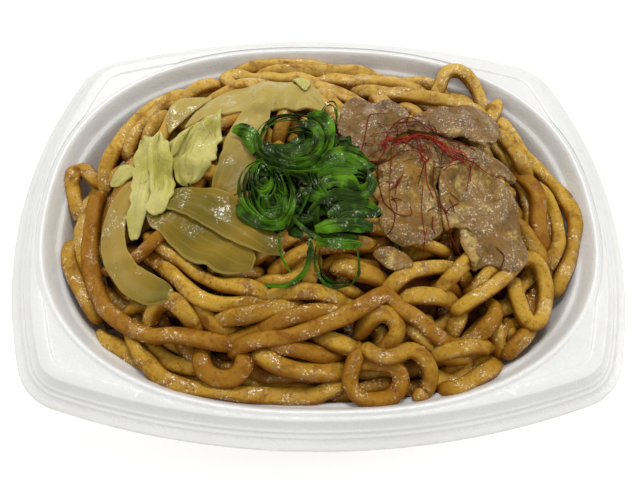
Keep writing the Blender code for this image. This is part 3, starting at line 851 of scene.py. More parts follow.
    def soft(self, weight, radius, scale):
        """How much light passes into the surface, and how far: a share for each colour, times metres."""
        self.shader.inputs["Subsurface Weight"].default_value = weight
        self.shader.inputs["Subsurface Radius"].default_value = radius
        self.shader.inputs["Subsurface Scale"].default_value = scale


def tinted(colour, light):
    """This colour made lighter or darker."""
    return tuple(light * channel for channel in colour)


def foam_finish():
    """White foamed plastic under a thin film, stained where sauce has touched the bowl."""
    made = Finish("foam", roughness=0.32, coat_weight=0.25, coat_roughness=0.12)
    made.soft(0.12, (1.0, 1.0, 0.95), 0.004)
    foam = tuple(colours().foam)
    shade = made.ramp(made.noise(30, 2), 0.35, 0.7)
    base = made.mix(shade, foam, tinted(foam, 0.965))
    inside = made.ramp(made.part("Z"), 0.0335, 0.022)
    smear = made.math("MULTIPLY", made.ramp(made.noise(55, 4, distortion=0.6), 0.40, 0.66), inside)
    base = made.mix(made.math("MULTIPLY", smear, 0.28), base, (0.60, 0.47, 0.24))
    base = made.mix(made.math("MULTIPLY", inside, 0.06), base, (0.66, 0.56, 0.38))
    made.colour(base)
    made.bump((made.noise(90, 2), 0.0005), (made.cells(900), 0.00008), (made.noise(1500, 2), 0.00008))
    return made.material


def noodle_finish(name, pale, middle, dark):
    """Boiled wheat noodle under brown sauce: paler and darker stretches, blotches and fine specks, with painted shade
    on the sides and deep in the heap, and pale specks of painted highlight.
    """
    made = Finish(name, coat_roughness=0.09)
    made.shine(0.12)
    made.soft(0.06, (1.0, 0.55, 0.18), 0.0025)
    own = made.attribute("strand_shade")
    long_shade = made.math(
        "ADD", made.math("MULTIPLY", own, 0.50), made.math("MULTIPLY", made.noise(38, 2), 0.9)
    )
    base = made.mix(made.ramp(long_shade, 0.36, 0.95), middle, pale)
    base = made.mix(made.ramp(own, 0.30, 0.10, 0.0, 0.55), base, (0.27, 0.105, 0.005))
    behind = made.ramp(made.part("Y"), 0.010, 0.060, 0.0, 0.72)
    base = made.mix(behind, base, (0.62, 0.40, 0.085))
    blotch = made.ramp(made.noise(140, 4, 0.65, 0.5), 0.47, 0.72, 0.0, 0.80)
    base = made.mix(blotch, base, dark)
    grain = made.ramp(made.noise(620, 3, 0.7), 0.50, 0.70, 0.0, 0.45)
    base = made.mix(grain, base, tinted(dark, 0.75))
    speck = made.ramp(made.cells(420), 0.16, 0.09, 0.0, 0.8)
    base = made.mix(
        made.math("MULTIPLY", speck, made.ramp(made.noise(70, 1), 0.5, 0.6)), base, (0.05, 0.018, 0.004)
    )
    # Painted shade, with some sauce: the faces of a noodle that turn away from up are made darker.
    side = made.ramp(made.attribute("up"), 0.88, 0.15, 0.0, 0.85)
    base = made.mix(side, base, (0.225, 0.066, 0.002))
    # Painted shade, with some sauce: noodles that lie deeper under the heap's surface are made darker.
    low = made.ramp(made.attribute("depth"), 2.5, 10.0, 0.0, 0.8)
    base = made.mix(low, base, tinted(dark, 0.85))
    glint = made.glints(0.8, 0.50, 0.62, 130)
    # Pale specks of painted highlight where the skin is wet.
    base = made.droplets(base, (0.80, 0.62, 0.30), 0.75)
    made.colour(base)
    made.roughness(made.ramp(made.noise(160, 3), 0.3, 0.75, 0.34, 0.55))
    made.bump((made.noise(150, 3), 0.0008), (made.noise(420, 3, 0.6), 0.00035), (glint, 0.00026))
    return made.material


def onion_finish():
    """Half-clear cooked onion with faint lengthwise veins, edges painted paler for light showing through them, a wet
    skin that glints in places, and pale specks of painted highlight.
    """
    made = Finish("onion", roughness=0.32, coat_roughness=0.06)
    made.shine(0.10)
    made.soft(0.25, (1.0, 0.8, 0.25), 0.003)
    onion = tuple(colours().onion)
    base = made.mix(made.ramp(made.noise(38, 2), 0.35, 0.65), onion, (0.138, 0.102, 0.010))
    base = made.mix(made.ramp(made.part("Y"), -0.008, 0.030, 0.0, 0.85), base, (0.42, 0.32, 0.088))
    base = made.mix(made.ramp(made.part("X"), -0.060, -0.076, 0.0, 0.75), base, (0.37, 0.245, 0.052))
    # Painted light: the thin edges are made paler, for light showing through them.
    base = made.mix(made.ramp(made.attribute("edge"), 0.82, 1.0, 0.0, 0.55), base, (0.50, 0.38, 0.10))
    base = made.mix(made.ramp(made.attribute("vein"), 0.60, 0.95, 0.0, 0.07), base, (0.60, 0.50, 0.22))
    stain = made.ramp(made.noise(85, 3, 0.6, 0.5), 0.56, 0.74, 0.0, 0.40)
    base = made.mix(stain, base, (0.20, 0.10, 0.012))
    glint = made.glints(0.9, 0.54, 0.64, 80)
    # Pale specks of painted highlight where the skin is wet.
    base = made.droplets(base, (0.80, 0.72, 0.46), 0.7)
    made.colour(base)
    made.bump((made.noise(100, 2), 0.0006), (made.noise(420, 2), 0.00012), (glint, 0.00028))
    return made.material


def cabbage_finish():
    """Limp pale cabbage: lighter ribs, greener blades, painted shade in the creases, a wet skin and pale specks of
    painted highlight.
    """
    made = Finish("cabbage", roughness=0.36, coat_roughness=0.08)
    made.shine(0.14)
    made.soft(0.25, (0.9, 1.0, 0.35), 0.002)
    cabbage = tuple(colours().cabbage)
    base = made.mix(made.ramp(made.noise(60, 3), 0.38, 0.70), cabbage, (0.39, 0.35, 0.065))
    rib = made.math(
        "MULTIPLY",
        made.ramp(made.attribute("vein"), 0.6, 0.95, 0.0, 0.5),
        made.ramp(made.noise(75, 2), 0.45, 0.6),
    )
    base = made.mix(rib, base, (0.60, 0.54, 0.25))
    base = made.mix(made.ramp(made.noise(45, 2), 0.60, 0.76, 0.0, 0.35), base, (0.30, 0.36, 0.04))
    base = made.mix(
        made.ramp(made.noise(110, 4, 0.6, 0.5), 0.62, 0.76, 0.0, 0.35), base, (0.42, 0.27, 0.05)
    )
    # Painted shade in the creases between the ribs.
    crease_shade = made.math(
        "MULTIPLY",
        made.ramp(made.attribute("vein"), 0.22, 0.02, 0.0, 0.75),
        made.ramp(made.noise(60, 2), 0.40, 0.55),
    )
    base = made.mix(crease_shade, base, (0.24, 0.185, 0.025))
    glint = made.glints(0.7, 0.54, 0.66, 120)
    # Pale specks of painted highlight where the skin is wet.
    base = made.droplets(base, (0.80, 0.78, 0.55), 0.6)
    made.colour(base)
    made.bump((made.noise(190, 3), 0.0009), (made.noise(600, 3), 0.00025), (glint, 0.00034))
    return made.material


def meat_finish():
    """Thin fried meat: brown lean with a coarse grain, golden fat, a wet skin that glistens, and pale specks of
    painted highlight all over it.
    """
    made = Finish("meat", coat_roughness=0.06)
    made.shine(0.10)
    made.soft(0.05, (1.0, 0.5, 0.25), 0.002)
    meat, fat = tuple(colours().meat), tuple(colours().fat)
    fatty = made.attribute("fat")
    lean = made.mix(made.ramp(fatty, 0.15, 0.80), meat, (0.27, 0.142, 0.022))
    lean = made.mix(made.ramp(made.noise(110, 4), 0.38, 0.66, 0.0, 0.7), lean, tinted(meat, 0.60))
    patch = made.ramp(
        made.math("ADD", made.noise(70, 4, 0.6, 0.8), made.math("MULTIPLY", fatty, 0.26)), 0.66, 0.80
    )
    base = made.mix(patch, lean, fat)
    grain = made.ramp(made.noise(560, 3, 0.7), 0.46, 0.68, 0.0, 0.6)
    base = made.mix(grain, base, tinted(meat, 0.36))
    stain = made.ramp(made.noise(150, 3), 0.54, 0.70, 0.0, 0.6)
    base = made.mix(stain, base, (0.24, 0.100, 0.012))
    glint = made.glints(0.6, 0.42, 0.56, 130)
    # Pale specks of painted highlight where the skin is wet.
    base = made.droplets(base, (0.74, 0.58, 0.38), 0.62, 0.57, 0.68)
    made.colour(base)
    made.roughness(made.ramp(made.noise(500, 2), 0.3, 0.7, 0.30, 0.5))
    made.bump((made.noise(150, 4, 0.6), 0.0016), (made.noise(520, 4, 0.7), 0.0006), (glint, 0.00030))
    return made.material


def leaf_finish(name, light):
    """Fresh spring onion: dark to bright green with fine lengthwise lines, a wet skin and pale specks of painted
    highlight.
    """
    made = Finish(name, roughness=0.34, coat_roughness=0.08)
    made.shine(0.08)
    made.soft(0.12, (0.5, 1.0, 0.2), 0.0010)
    leaf = tinted(colours().leaf, light)
    bright = (leaf[0] * 2.3, leaf[1] * 1.9, leaf[2] * 2.0)
    dark = (leaf[0] * 0.22, leaf[1] * 0.20, leaf[2] * 0.4)
    own = made.ramp(made.attribute("strand_shade"), 0.10, 0.95)
    base = made.mix(own, leaf, bright)
    base = made.mix(made.ramp(made.noise(110, 3), 0.40, 0.60, 0.0, 0.92), base, dark)
    lines = made.streaks(34.0, 90.0)
    base = made.mix(made.ramp(lines, 0.50, 0.72, 0.0, 0.75), base, dark)
    base = made.mix(made.ramp(lines, 0.42, 0.28, 0.0, 0.55), base, (0.16, 0.26, 0.045))
    glint = made.glints(0.5, 0.50, 0.70, 170)
    # Pale specks of painted highlight where the skin is wet.
    base = made.droplets(base, (0.60, 0.68, 0.46), 0.75)
    made.colour(base)
    made.bump((made.noise(260, 2), 0.0005), (lines, 0.0004), (glint, 0.00030))
    return made.material


def chili_finish(name, light):
    """Dried chili: bright to nearly black red, a little glossy."""
    made = Finish(name, roughness=0.42)
    made.shine(0.12)
    chili = tinted(colours().chili, light)
    own = made.ramp(made.attribute("strand_shade"), 0.1, 0.9)
    base = made.mix(own, tinted(chili, 0.25), chili)
    made.colour(made.mix(made.ramp(made.noise(160, 2), 0.4, 0.65), base, tinted(chili, 0.45)))
    made.bump((made.noise(2500, 2), 0.00006))
    return made.material


def pepper_finish():
    """Ground pepper, dark brown to black."""
    made = Finish("pepper", roughness=0.7)
    made.colour(
        made.mix(made.ramp(made.noise(900, 1), 0.4, 0.6), (0.02, 0.008, 0.004), (0.09, 0.04, 0.015))
    )
    made.bump((made.noise(4000, 1), 0.00005))
    return made.material


def floor_finish():
    """A smooth pale table top."""
    made = Finish("floor", roughness=0.6)
    made.colour(made.mix(made.ramp(made.noise(3, 2), 0.3, 0.7), (0.95, 0.95, 0.95), (0.93, 0.93, 0.93)))
    made.shader.inputs["Emission Color"].default_value = (1.0, 1.0, 1.0, 1.0)
    made.shader.inputs["Emission Strength"].default_value = FLOOR_GLOW
    return made.material


# ---------------------------------------------------------------- the pile


def oval_share(x, y, half_x, half_y):
    """How far out a point lies, as a share of the way to this oval's edge."""
    return (
        (np.abs(x) / half_x) ** BOWL_SQUARENESS + (np.abs(y) / half_y) ** BOWL_SQUARENESS
    ) ** (1 / BOWL_SQUARENESS)


def heap_height(x, y):
    """Height of the middle of the topmost noodles."""
    share = np.minimum(oval_share(x, y, HEAP_HALF_LENGTH, HEAP_HALF_WIDTH), 1.0)
    return HEAP_EDGE + HEAP_RISE * (1 - share**HEAP_STEEPNESS)


def bowl_height(x, y):
    """Height of the bowl's inside."""
    away = np.hypot(x, y)
    inset = away / np.maximum(oval_share(x, y, BOWL_HALF_LENGTH, BOWL_HALF_WIDTH), 1e-6) - away
    insets = [-inset for inset, _ in BOWL_WALL]
    heights = [height * MM for _, height in BOWL_WALL]
    return np.interp(-inset / MM, insets, heights)


def food_edge(x, y):
    """How far out a point lies, as a share of the way to the food's uneven edge."""
    turn = np.degrees(np.arctan2(y, x))
    reach = 1.0
    for degrees, depth, width in HOLLOWS:
        away = (turn - degrees + 180) % 360 - 180
        reach = reach - depth * np.exp(-((away / width) ** 2))
    return oval_share(x, y, HEAP_HALF_LENGTH, HEAP_HALF_WIDTH) / reach


class Pile:
    """How high everything laid so far stands, on a fine grid over the bowl."""

    CELL = 0.0005
    SQUEEZE = 0.86

    def __init__(self):
        self.half = np.array([BOWL_HALF_LENGTH + 0.004, BOWL_HALF_WIDTH + 0.004])
        self.count = (2 * self.half / self.CELL).astype(int)
        xs, ys = (np.arange(n) * self.CELL - h for n, h in zip(self.count, self.half))
        self.x, self.y = np.meshgrid(xs, ys, indexing="ij")
        core = np.where(food_edge(self.x, self.y) < 0.97, heap_height(self.x, self.y) - CORE_DEPTH, 0.0)
        self.top = np.maximum(bowl_height(self.x, self.y), core)

    def cells(self, points):
        """Grid cells of these points."""
        found = np.rint((points[:, :2] + self.half) / self.CELL).astype(int)
        return np.clip(found, 0, self.count - 1)

    def under(self, points, radius):
        """Cells under a ball at each point, and how far the ball's surface is from its middle there."""
        reach = int(radius / self.CELL)
        di, dj = np.meshgrid(np.arange(-reach, reach + 1), np.arange(-reach, reach + 1), indexing="ij")
        away = np.hypot(di, dj) * self.CELL
        inside = away <= radius
        drop = np.sqrt(radius**2 - away[inside] ** 2)
        cells = self.cells(points)
        i = np.clip(cells[:, :1] + di[inside], 0, self.count[0] - 1)
        j = np.clip(cells[:, 1:] + dj[inside], 0, self.count[1] - 1)
        return i, j, drop

    def rest(self, points, radius):
        """Lowest height at which a ball of this radius clears the pile, at each point."""
        i, j, drop = self.under(points, radius)
        return (self.top[i, j] + drop).max(axis=1)

    def near(self, points, radius):
        """The pile's highest point within this distance of each point."""
        i, j, _ = self.under(points, radius)
        return self.top[i, j].max(axis=1)

    def press(self, points, radius):
        """Adds a strand through these points."""
        i, j, drop = self.under(points, radius)
        np.maximum.at(self.top, (i, j), points[:, 2:] + drop)

    def push_under(self, strands, radius, tops):
        """Lowers crossing strands, the top one first, so that none stands higher than its own limit."""
        roof = np.full(self.top.shape, 1.0)
        lowered = []
        for points, limit in zip(reversed(strands), reversed(tops)):
            i, j, drop = self.under(points, radius)
            most = np.minimum((roof[i, j] - drop).min(axis=1), limit)
            least = bowl_height(points[:, 0], points[:, 1]) + radius
            heights = round_off(np.minimum(points[:, 2], most), 10)
            points = np.column_stack([points[:, :2], np.maximum(heights, least)])
            np.minimum.at(roof, (i, j), points[:, 2:] - drop)
            lowered.append(points)
        return lowered[::-1]

    def cover(self, piece):
        """Adds a piece's upper surface."""
        mesh = piece.data
        points = [vertex.co for vertex in mesh.vertices]
        tree = BVHTree.FromPolygons(points, [tuple(face.vertices) for face in mesh.polygons])
        flat = np.array([point[:] for point in points])
        low, high = self.cells(flat).min(axis=0), self.cells(flat).max(axis=0)
        for i in range(low[0], high[0] + 1):
            for j in range(low[1], high[1] + 1):
                hit = tree.ray_cast(Vector((self.x[i, j], self.y[i, j], 0.2)), Vector((0, 0, -1)))[0]
                if hit:
                    self.top[i, j] = max(self.top[i, j], hit.z)


def smooth_line(points, step):
    """A smooth line through the points, with a point about every step, carrying all their numbers."""
    knots = np.array(points, float)
    knots = np.vstack([2 * knots[0] - knots[1], knots, 2 * knots[-1] - knots[-2]])
    line = []
    for before, start, end, after in zip(knots, knots[1:], knots[2:], knots[3:]):
        pieces = max(2, int(np.linalg.norm((end - start)[:2]) / step))
        for t in np.arange(pieces) / pieces:
            bend = 2 * before - 5 * start + 4 * end - after
            last = 3 * start - before - 3 * end + after
            line.append(0.5 * (2 * start + (end - before) * t + bend * t**2 + last * t**3))
    line.append(knots[-2])
    return np.array(line)


def even_line(line, step):
    """The same line with its points evenly spaced."""
    gaps = np.linalg.norm(np.diff(line[:, :2], axis=0), axis=1)
    along = np.concatenate([[0], np.cumsum(gaps)])
    wanted = np.linspace(0, along[-1], max(4, int(along[-1] / step)))
    return np.column_stack([np.interp(wanted, along, column) for column in line.T])


def directions(line):
    """Unit steps along the line and to its left, at each point."""
    run = np.gradient(line[:, :2], axis=0)
    run /= np.linalg.norm(run, axis=1, keepdims=True)
    return run, np.column_stack([-run[:, 1], run[:, 0]])


def neighbours(grid):
    """Sum of the four values beside each value of a grid."""
    padded = np.pad(grid, 1, mode="edge")
    return padded[:-2, 1:-1] + padded[2:, 1:-1] + padded[1:-1, :-2] + padded[1:-1, 2:]


def narrow_ends(count, share, points):
    """A strip's width share at each point: this share at both ends, and full after about so many points."""
    return np.minimum(1.0, share + np.minimum(np.arange(count), np.arange(count)[::-1]) / points)


def settle(low, rounds):
    """Heights of a soft strand that may not go below low, and bridges short gaps."""
    high = low.copy()
    for _ in range(rounds):
        high[1:-1] = np.maximum(low[1:-1], (high[:-2] + high[2:]) / 2)
        high[0] = max(low[0], high[1] - 0.2 * MM)
        high[-1] = max(low[-1], high[-2] - 0.2 * MM)
    return high


def round_off(heights, rounds):
    """Rounds a strand's sharp bends up and down."""
    for _ in range(rounds):
        heights[1:-1] = 0.25 * heights[:-2] + 0.5 * heights[1:-1] + 0.25 * heights[2:]
    return heights


def lay_strand(pile, line, width, below=None):
    """A strand along this plan line on the pile: its points, with heights.

    With below, it also keeps near the heap's surface, that much under it.
    """
    radius = width / 2 * pile.SQUEEZE
    low = pile.rest(line, radius)
    if below is not None:
        low = np.maximum(low, heap_height(line[:, 0], line[:, 1]) - below)
    return np.column_stack([line[:, :2], round_off(settle(low, 14), 6)])


# ---------------------------------------------------------------- making pieces


def put_in_scene(thing):
    """Links an object to the scene."""
    bpy.context.scene.collection.objects.link(thing)


def smooth_mesh(built, name):
    """A smooth mesh of what was built. The builder is freed."""
    mesh = bpy.data.meshes.new(name)
    built.to_mesh(mesh)
    built.free()
    mesh.shade_smooth()
    return mesh


def add_piece(name, mesh, stand_ins=(), finish_slot=None):
    """A finished piece that rides with the object, stands for these CAD nodes and takes this slot."""
    piece = bpy.data.objects.new(name, mesh)
    put_in_scene(piece)
    if not mesh.polygons:
        raise RuntimeError(f"{name} came out empty")
    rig.ride(piece, "root")
    if stand_ins:
        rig.replaces(piece, *stand_ins)
    if finish_slot:
        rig.slot(piece, finish_slot)
    return piece


def plain_mesh(guide, finish):
    """The guide's evaluated shape as a plain mesh. The guide itself is removed."""
    bpy.context.view_layer.update()
    graph = bpy.context.evaluated_depsgraph_get()
    mesh = bpy.data.meshes.new_from_object(guide.evaluated_get(graph))
    data = guide.data
    bpy.data.objects.remove(guide)
    bpy.data.batch_remove([data])
    mesh.materials.clear()
    mesh.materials.append(finish)
    return mesh


def store(mesh, name, values):
    """Keeps one number for each point of the mesh."""
    mesh.attributes.new(name, "FLOAT", "POINT").data.foreach_set("value", np.asarray(values, np.float32))


class Tree:
    """A Geometry Nodes tree with named inputs."""

    def __init__(self, name, inputs):
        self.tree = bpy.data.node_groups.new(name, "GeometryNodeTree")
        self.tree.interface.new_socket("Geometry", in_out="INPUT", socket_type="NodeSocketGeometry")
        for label, kind in inputs:
            self.tree.interface.new_socket(label, in_out="INPUT", socket_type="NodeSocket" + kind)
        self.tree.interface.new_socket("Geometry", in_out="OUTPUT", socket_type="NodeSocketGeometry")
        self.start = self.tree.nodes.new("NodeGroupInput")
        self.end = self.tree.nodes.new("NodeGroupOutput")

    def node(self, kind, settings=None, **inputs):
        """A node with these settings, and its inputs joined or set."""
        made = self.tree.nodes.new(kind)
        for setting, value in (settings or {}).items():
            setattr(made, setting, value)
        for label, value in inputs.items():
            label = label.replace("_", " ")
            found = next(s for s in made.inputs if s.enabled and s.name.lower() == label.lower())
            if isinstance(value, bpy.types.NodeSocket):
                self.tree.links.new(value, found)
            else:
                found.default_value = value
        return next((s for s in made.outputs if s.enabled), None)

    def given(self, label):
        return self.start.outputs[label]

    def finish(self, geometry, material):
        """Ends the tree in plain geometry with the material set."""
        real = self.node("GeometryNodeRealizeInstances", Geometry=geometry)
        done = self.node("GeometryNodeSetMaterial", Geometry=real, Material=material)
        self.tree.links.new(done, self.end.inputs["Geometry"])
        return self.tree


def use_tree(guide, tree, **values):
    """Gives the guide this tree, with its inputs set by their identifiers."""
    modifier = guide.modifiers.new("Maker", "NODES")
    modifier.node_group = tree
    for item in tree.interface.items_tree:
        label = item.name.lower().replace(" ", "_")
        if item.in_out == "INPUT" and label in values:
            modifier[item.identifier] = values[label]


def strand_tree():
    """Gives each spline a rounded four-sided body with small lumps, and its own random shade."""
    made = Tree(
        "Strand maker",
        (
            ("Width", "Float"),
            ("Height", "Float"),
            ("Corner", "Float"),
            ("Corner steps", "Int"),
            ("Lump depth", "Float"),
            ("Lump scale", "Float"),
            ("Seed", "Int"),
            ("Finish", "Material"),
        ),
    )
    shade = made.node("FunctionNodeRandomValue", {"data_type": "FLOAT"}, Seed=made.given("Seed"))
    named = made.node(
        "GeometryNodeStoreNamedAttribute",
        {"data_type": "FLOAT", "domain": "CURVE"},
        Geometry=made.given("Geometry"),
        Name="strand_shade",
        Value=shade,
    )
    square = made.node(
        "GeometryNodeCurvePrimitiveQuadrilateral", Width=made.given("Width"), Height=made.given("Height")
    )
    profile = made.node(
        "GeometryNodeFilletCurve",
        {"mode": "POLY"},
        Curve=square,
        Count=made.given("Corner steps"),
        Radius=made.given("Corner"),
        Limit_Radius=True,
    )
    parameter = made.node("GeometryNodeSplineParameter").node
    store_number = {"data_type": "FLOAT", "domain": "POINT"}
    profile = made.node(
        "GeometryNodeStoreNamedAttribute",
        store_number,
        Geometry=profile,
        Name="across",
        Value=parameter.outputs["Factor"],
    )
    named = made.node(
        "GeometryNodeStoreNamedAttribute",
        store_number,
        Geometry=named,
        Name="along",
        Value=parameter.outputs["Length"],
    )
    radius = made.node("GeometryNodeInputRadius")
    body = made.node(
        "GeometryNodeCurveToMesh", Curve=named, Profile_Curve=profile, Scale=radius, Fill_Caps=True
    )
    place = made.node("GeometryNodeInputPosition")
    lumps = made.node("ShaderNodeTexNoise", Vector=place, Scale=made.given("Lump scale"), Detail=2.0)
    centred = made.node("ShaderNodeMath", {"operation": "SUBTRACT"}, Value=lumps)
    centred.node.inputs[1].default_value = 0.5
    depth = made.node("ShaderNodeMath", {"operation": "MULTIPLY"}, Value=centred)
    made.tree.links.new(made.given("Lump depth"), depth.node.inputs[1])
    normal = made.node("GeometryNodeInputNormal")
    push = made.node("ShaderNodeVectorMath", {"operation": "SCALE"}, Vector=normal, Scale=depth)
    lumpy = made.node("GeometryNodeSetPosition", Geometry=body, Offset=push)
    smooth = made.node("GeometryNodeSetShadeSmooth", Geometry=lumpy)
    return made.finish(smooth, made.given("Finish"))


def speck_tree():
    """Scatters small uneven specks over the upper faces of a mesh."""
    made = Tree(
        "Speck maker", (("Density", "Float"), ("Size", "Float"), ("Seed", "Int"), ("Finish", "Material"))
    )
    normal = made.node("GeometryNodeInputNormal")
    up = made.node("ShaderNodeSeparateXYZ", Vector=normal).node.outputs["Z"]
    facing = made.node(
        "FunctionNodeCompare", {"data_type": "FLOAT", "operation": "GREATER_THAN"}, A=up, B=0.25
    )
    points = made.node(
        "GeometryNodeDistributePointsOnFaces",
        Mesh=made.given("Geometry"),
        Selection=facing,
        Density=made.given("Density"),
        Seed=made.given("Seed"),
    )
    speck = made.node("GeometryNodeMeshIcoSphere", Radius=made.given("Size"), Subdivisions=1)
    turn = made.node(
        "FunctionNodeRandomValue", {"data_type": "FLOAT_VECTOR"}, Max=(6.28, 6.28, 6.28), Seed=3
    )
    scale = made.node(
        "FunctionNodeRandomValue", {
            "data_type": "FLOAT_VECTOR"
        }, Min=(0.15, 0.15, 0.12), Max=(0.55, 0.42, 0.32), Seed=4
    )
    turned = made.node("FunctionNodeEulerToRotation", Euler=turn)
    specks = made.node(
        "GeometryNodeInstanceOnPoints", Points=points, Instance=speck, Rotation=turned, Scale=scale
    )
    return made.finish(specks, made.given("Finish"))


def strand_mesh(name, strands, finish, **values):
    """A plain mesh of these strands: points, with a radius share and a tilt at each."""
    curve = bpy.data.curves.new(name, "CURVE")
    curve.dimensions = "3D"
    curve.twist_mode = "Z_UP"
    for points, shares, tilts in strands:
        spline = curve.splines.new("POLY")
        spline.points.add(len(points) - 1)
        spline.points.foreach_set("co", np.column_stack([points, np.ones(len(points))]).ravel())
        spline.points.foreach_set("radius", np.asarray(shares, float))
        spline.points.foreach_set("tilt", np.asarray(tilts, float))
    guide = bpy.data.objects.new(name + "_guide", curve)
    put_in_scene(guide)
    tree = bpy.data.node_groups.get("Strand maker") or strand_tree()
    use_tree(guide, tree, finish=finish, **values)
    return plain_mesh(guide, finish)


def drift(rng, count, step, size):
    """Slowly changing random numbers around 0, one for each point."""
    knots = max(3, int(count * step / 0.012) + 2)
    return np.interp(np.linspace(0, knots - 1, count), np.arange(knots), rng.normal(0, size, knots))


# ---------------------------------------------------------------- tray


def corner_circle(inset, corner):
    """Centre of the circle that rounds the corner where the two side arcs meet."""
    long_centre = Vector((0.0, HALF_WIDTH - LONG_SIDE_RADIUS))
    short_centre = Vector((HALF_LENGTH - SHORT_SIDE_RADIUS, 0.0))
    long_reach = LONG_SIDE_RADIUS - inset - corner
    short_reach = SHORT_SIDE_RADIUS - inset - corner
    between = short_centre - long_centre
    gap = between.length
    along = (long_reach**2 - short_reach**2 + gap**2) / (2 * gap)
    across = math.sqrt(long_reach**2 - along**2)
    ahead = between / gap
    return long_centre + ahead * along + Vector((ahead.y, -ahead.x)) * across


def ray_to_circle(angle, centre, radius):
    """Distance from the origin, in this direction, to the far side of a circle."""
    ray = Vector((math.cos(angle), math.sin(angle)))
    along = ray.dot(centre)
    return along + math.sqrt(max(along**2 - centre.length_squared + radius**2, 0.0))


def edge_distance(angle, inset, corner):
    """Distance from the middle to the tray's outline, moved in by inset, at this angle."""
    angle = math.atan2(abs(math.sin(angle)), abs(math.cos(angle)))
    long_centre = Vector((0.0, HALF_WIDTH - LONG_SIDE_RADIUS))
    short_centre = Vector((HALF_LENGTH - SHORT_SIDE_RADIUS, 0.0))
    centre = corner_circle(inset, corner)
    on_long = centre + (centre - long_centre).normalized() * corner
    on_short = centre + (centre - short_centre).normalized() * corner
    if angle >= math.atan2(on_long.y, on_long.x):
        return ray_to_circle(angle, long_centre, LONG_SIDE_RADIUS - inset)
    if angle <= math.atan2(on_short.y, on_short.x):
        return ray_to_circle(angle, short_centre, SHORT_SIDE_RADIUS - inset)
    return ray_to_circle(angle, centre, corner)


def oval_distance(angle, inset):
    """Distance from the middle to the bowl's oval, moved in by inset, at this angle."""
    across = abs(math.cos(angle)) / (BOWL_HALF_LENGTH - inset)
    along = abs(math.sin(angle)) / (BOWL_HALF_WIDTH - inset)
    return (across**BOWL_SQUARENESS + along**BOWL_SQUARENESS) ** (-1 / BOWL_SQUARENESS)


def moved_profile(profile, distance):
    """The profile moved sideways, away from the bowl's inside where distance is positive."""
    moved = []
    for i, (inset, height) in enumerate(profile):
        before = profile[max(i - 1, 0)]
        after = profile[min(i + 1, len(profile) - 1)]
        run = Vector((after[0] - before[0], after[1] - before[1])).normalized()
        moved.append((inset - run.y * distance, height + run.x * distance))
    return moved


def tray_angles():
    """Angles of a ring's points: even round the middle, and twice as close round the four corners."""
    angles = []
    angle = 0.0
    while angle < 2 * math.pi:
        angles.append(angle)
        folded = math.atan2(abs(math.sin(angle)), abs(math.cos(angle)))
        at_corner = 0.55 < folded < 0.90
        angle += 2 * math.pi / TRAY_ANGLES * (0.5 if at_corner else 1.0)
    return angles


def outline_ring(angles, distance, height):
    """A ring of points at this distance from the middle, a function of the angle."""
    return [(distance(a) * math.cos(a), distance(a) * math.sin(a), height * MM) for a in angles]


def close_rings(built, rings, first, last):
    """Faces between the rings, and from the first and the last ring to these two points, turned outwards."""
    first, last = built.verts.new(first), built.verts.new(last)
    count = len(rings[0])
    for inner, outer in zip(rings, rings[1:]):
        for i in range(count):
            j = (i + 1) % count
            built.faces.new((inner[i], inner[j], outer[j], outer[i]))
    for i in range(count):
        j = (i + 1) % count
        built.faces.new((first, rings[0][j], rings[0][i]))
        built.faces.new((last, rings[-1][i], rings[-1][j]))
    if built.calc_volume(signed=True) < 0:
        bmesh.ops.reverse_faces(built, faces=built.faces)


def rim_distance(inset, lip):
    """Distance from the middle to the rim's outline, moved in by inset but never inside the bowl's lip."""
    corner = max(CORNER_RADIUS - inset, LEAST_CORNER)
    return lambda angle: max(edge_distance(angle, inset, corner), oval_distance(angle, lip))


def make_tray():
    """The shell: oval bowl, flat deck, raised ring, ribbed skirt with a cut edge, and foot."""
    angles = tray_angles()
    rings = [outline_ring(angles, lambda a, i=inset * MM: oval_distance(a, i), z) for inset, z in BOWL_WALL]
    lip = BOWL_WALL[-1][0] * MM - LIP_GAP
    rings += [outline_ring(angles, rim_distance(inset * MM, lip), z) for inset, z in RIM]
    rings += [outline_ring(angles, rim_distance(inset * MM, lip), z) for inset, z in UNDER_RIM]
    outside = moved_profile([pair for pair in BOWL_WALL if pair[1] < 33], 1000 * FOAM_THICKNESS)
    for inset, z in reversed(outside[2:]):
        rings.append(outline_ring(angles, lambda a, i=inset * MM: oval_distance(a, i), max(z, 0.0)))
    rings.append(outline_ring(angles, lambda a: oval_distance(a, FOOT_INSET), 0.0))
    built = bmesh.new()
    loops = [[built.verts.new(point) for point in points] for points in rings]
    close_rings(built, loops, (0, 0, FLOOR_TOP), (0, 0, 0))
    for vertex in built.verts:
        away = math.hypot(vertex.co.x, vertex.co.y)
        edge = edge_distance(math.atan2(vertex.co.y, vertex.co.x), 0.0, CORNER_RADIUS)
        if away > edge - 0.0006:
            ragged = noise.noise(vertex.co * 900) * 0.6 + noise.noise(vertex.co * 2600) * 0.4
            vertex.co.xy *= 1 - 0.00022 * abs(ragged) / away
    mesh = smooth_mesh(built, "tray_shell")
    mesh.set_sharp_from_angle(angle=math.radians(50))
    mesh.materials.append(foam_finish())
    return add_piece("foam_tray", mesh, ["tray"], "foam")


# ---------------------------------------------------------------- noodles


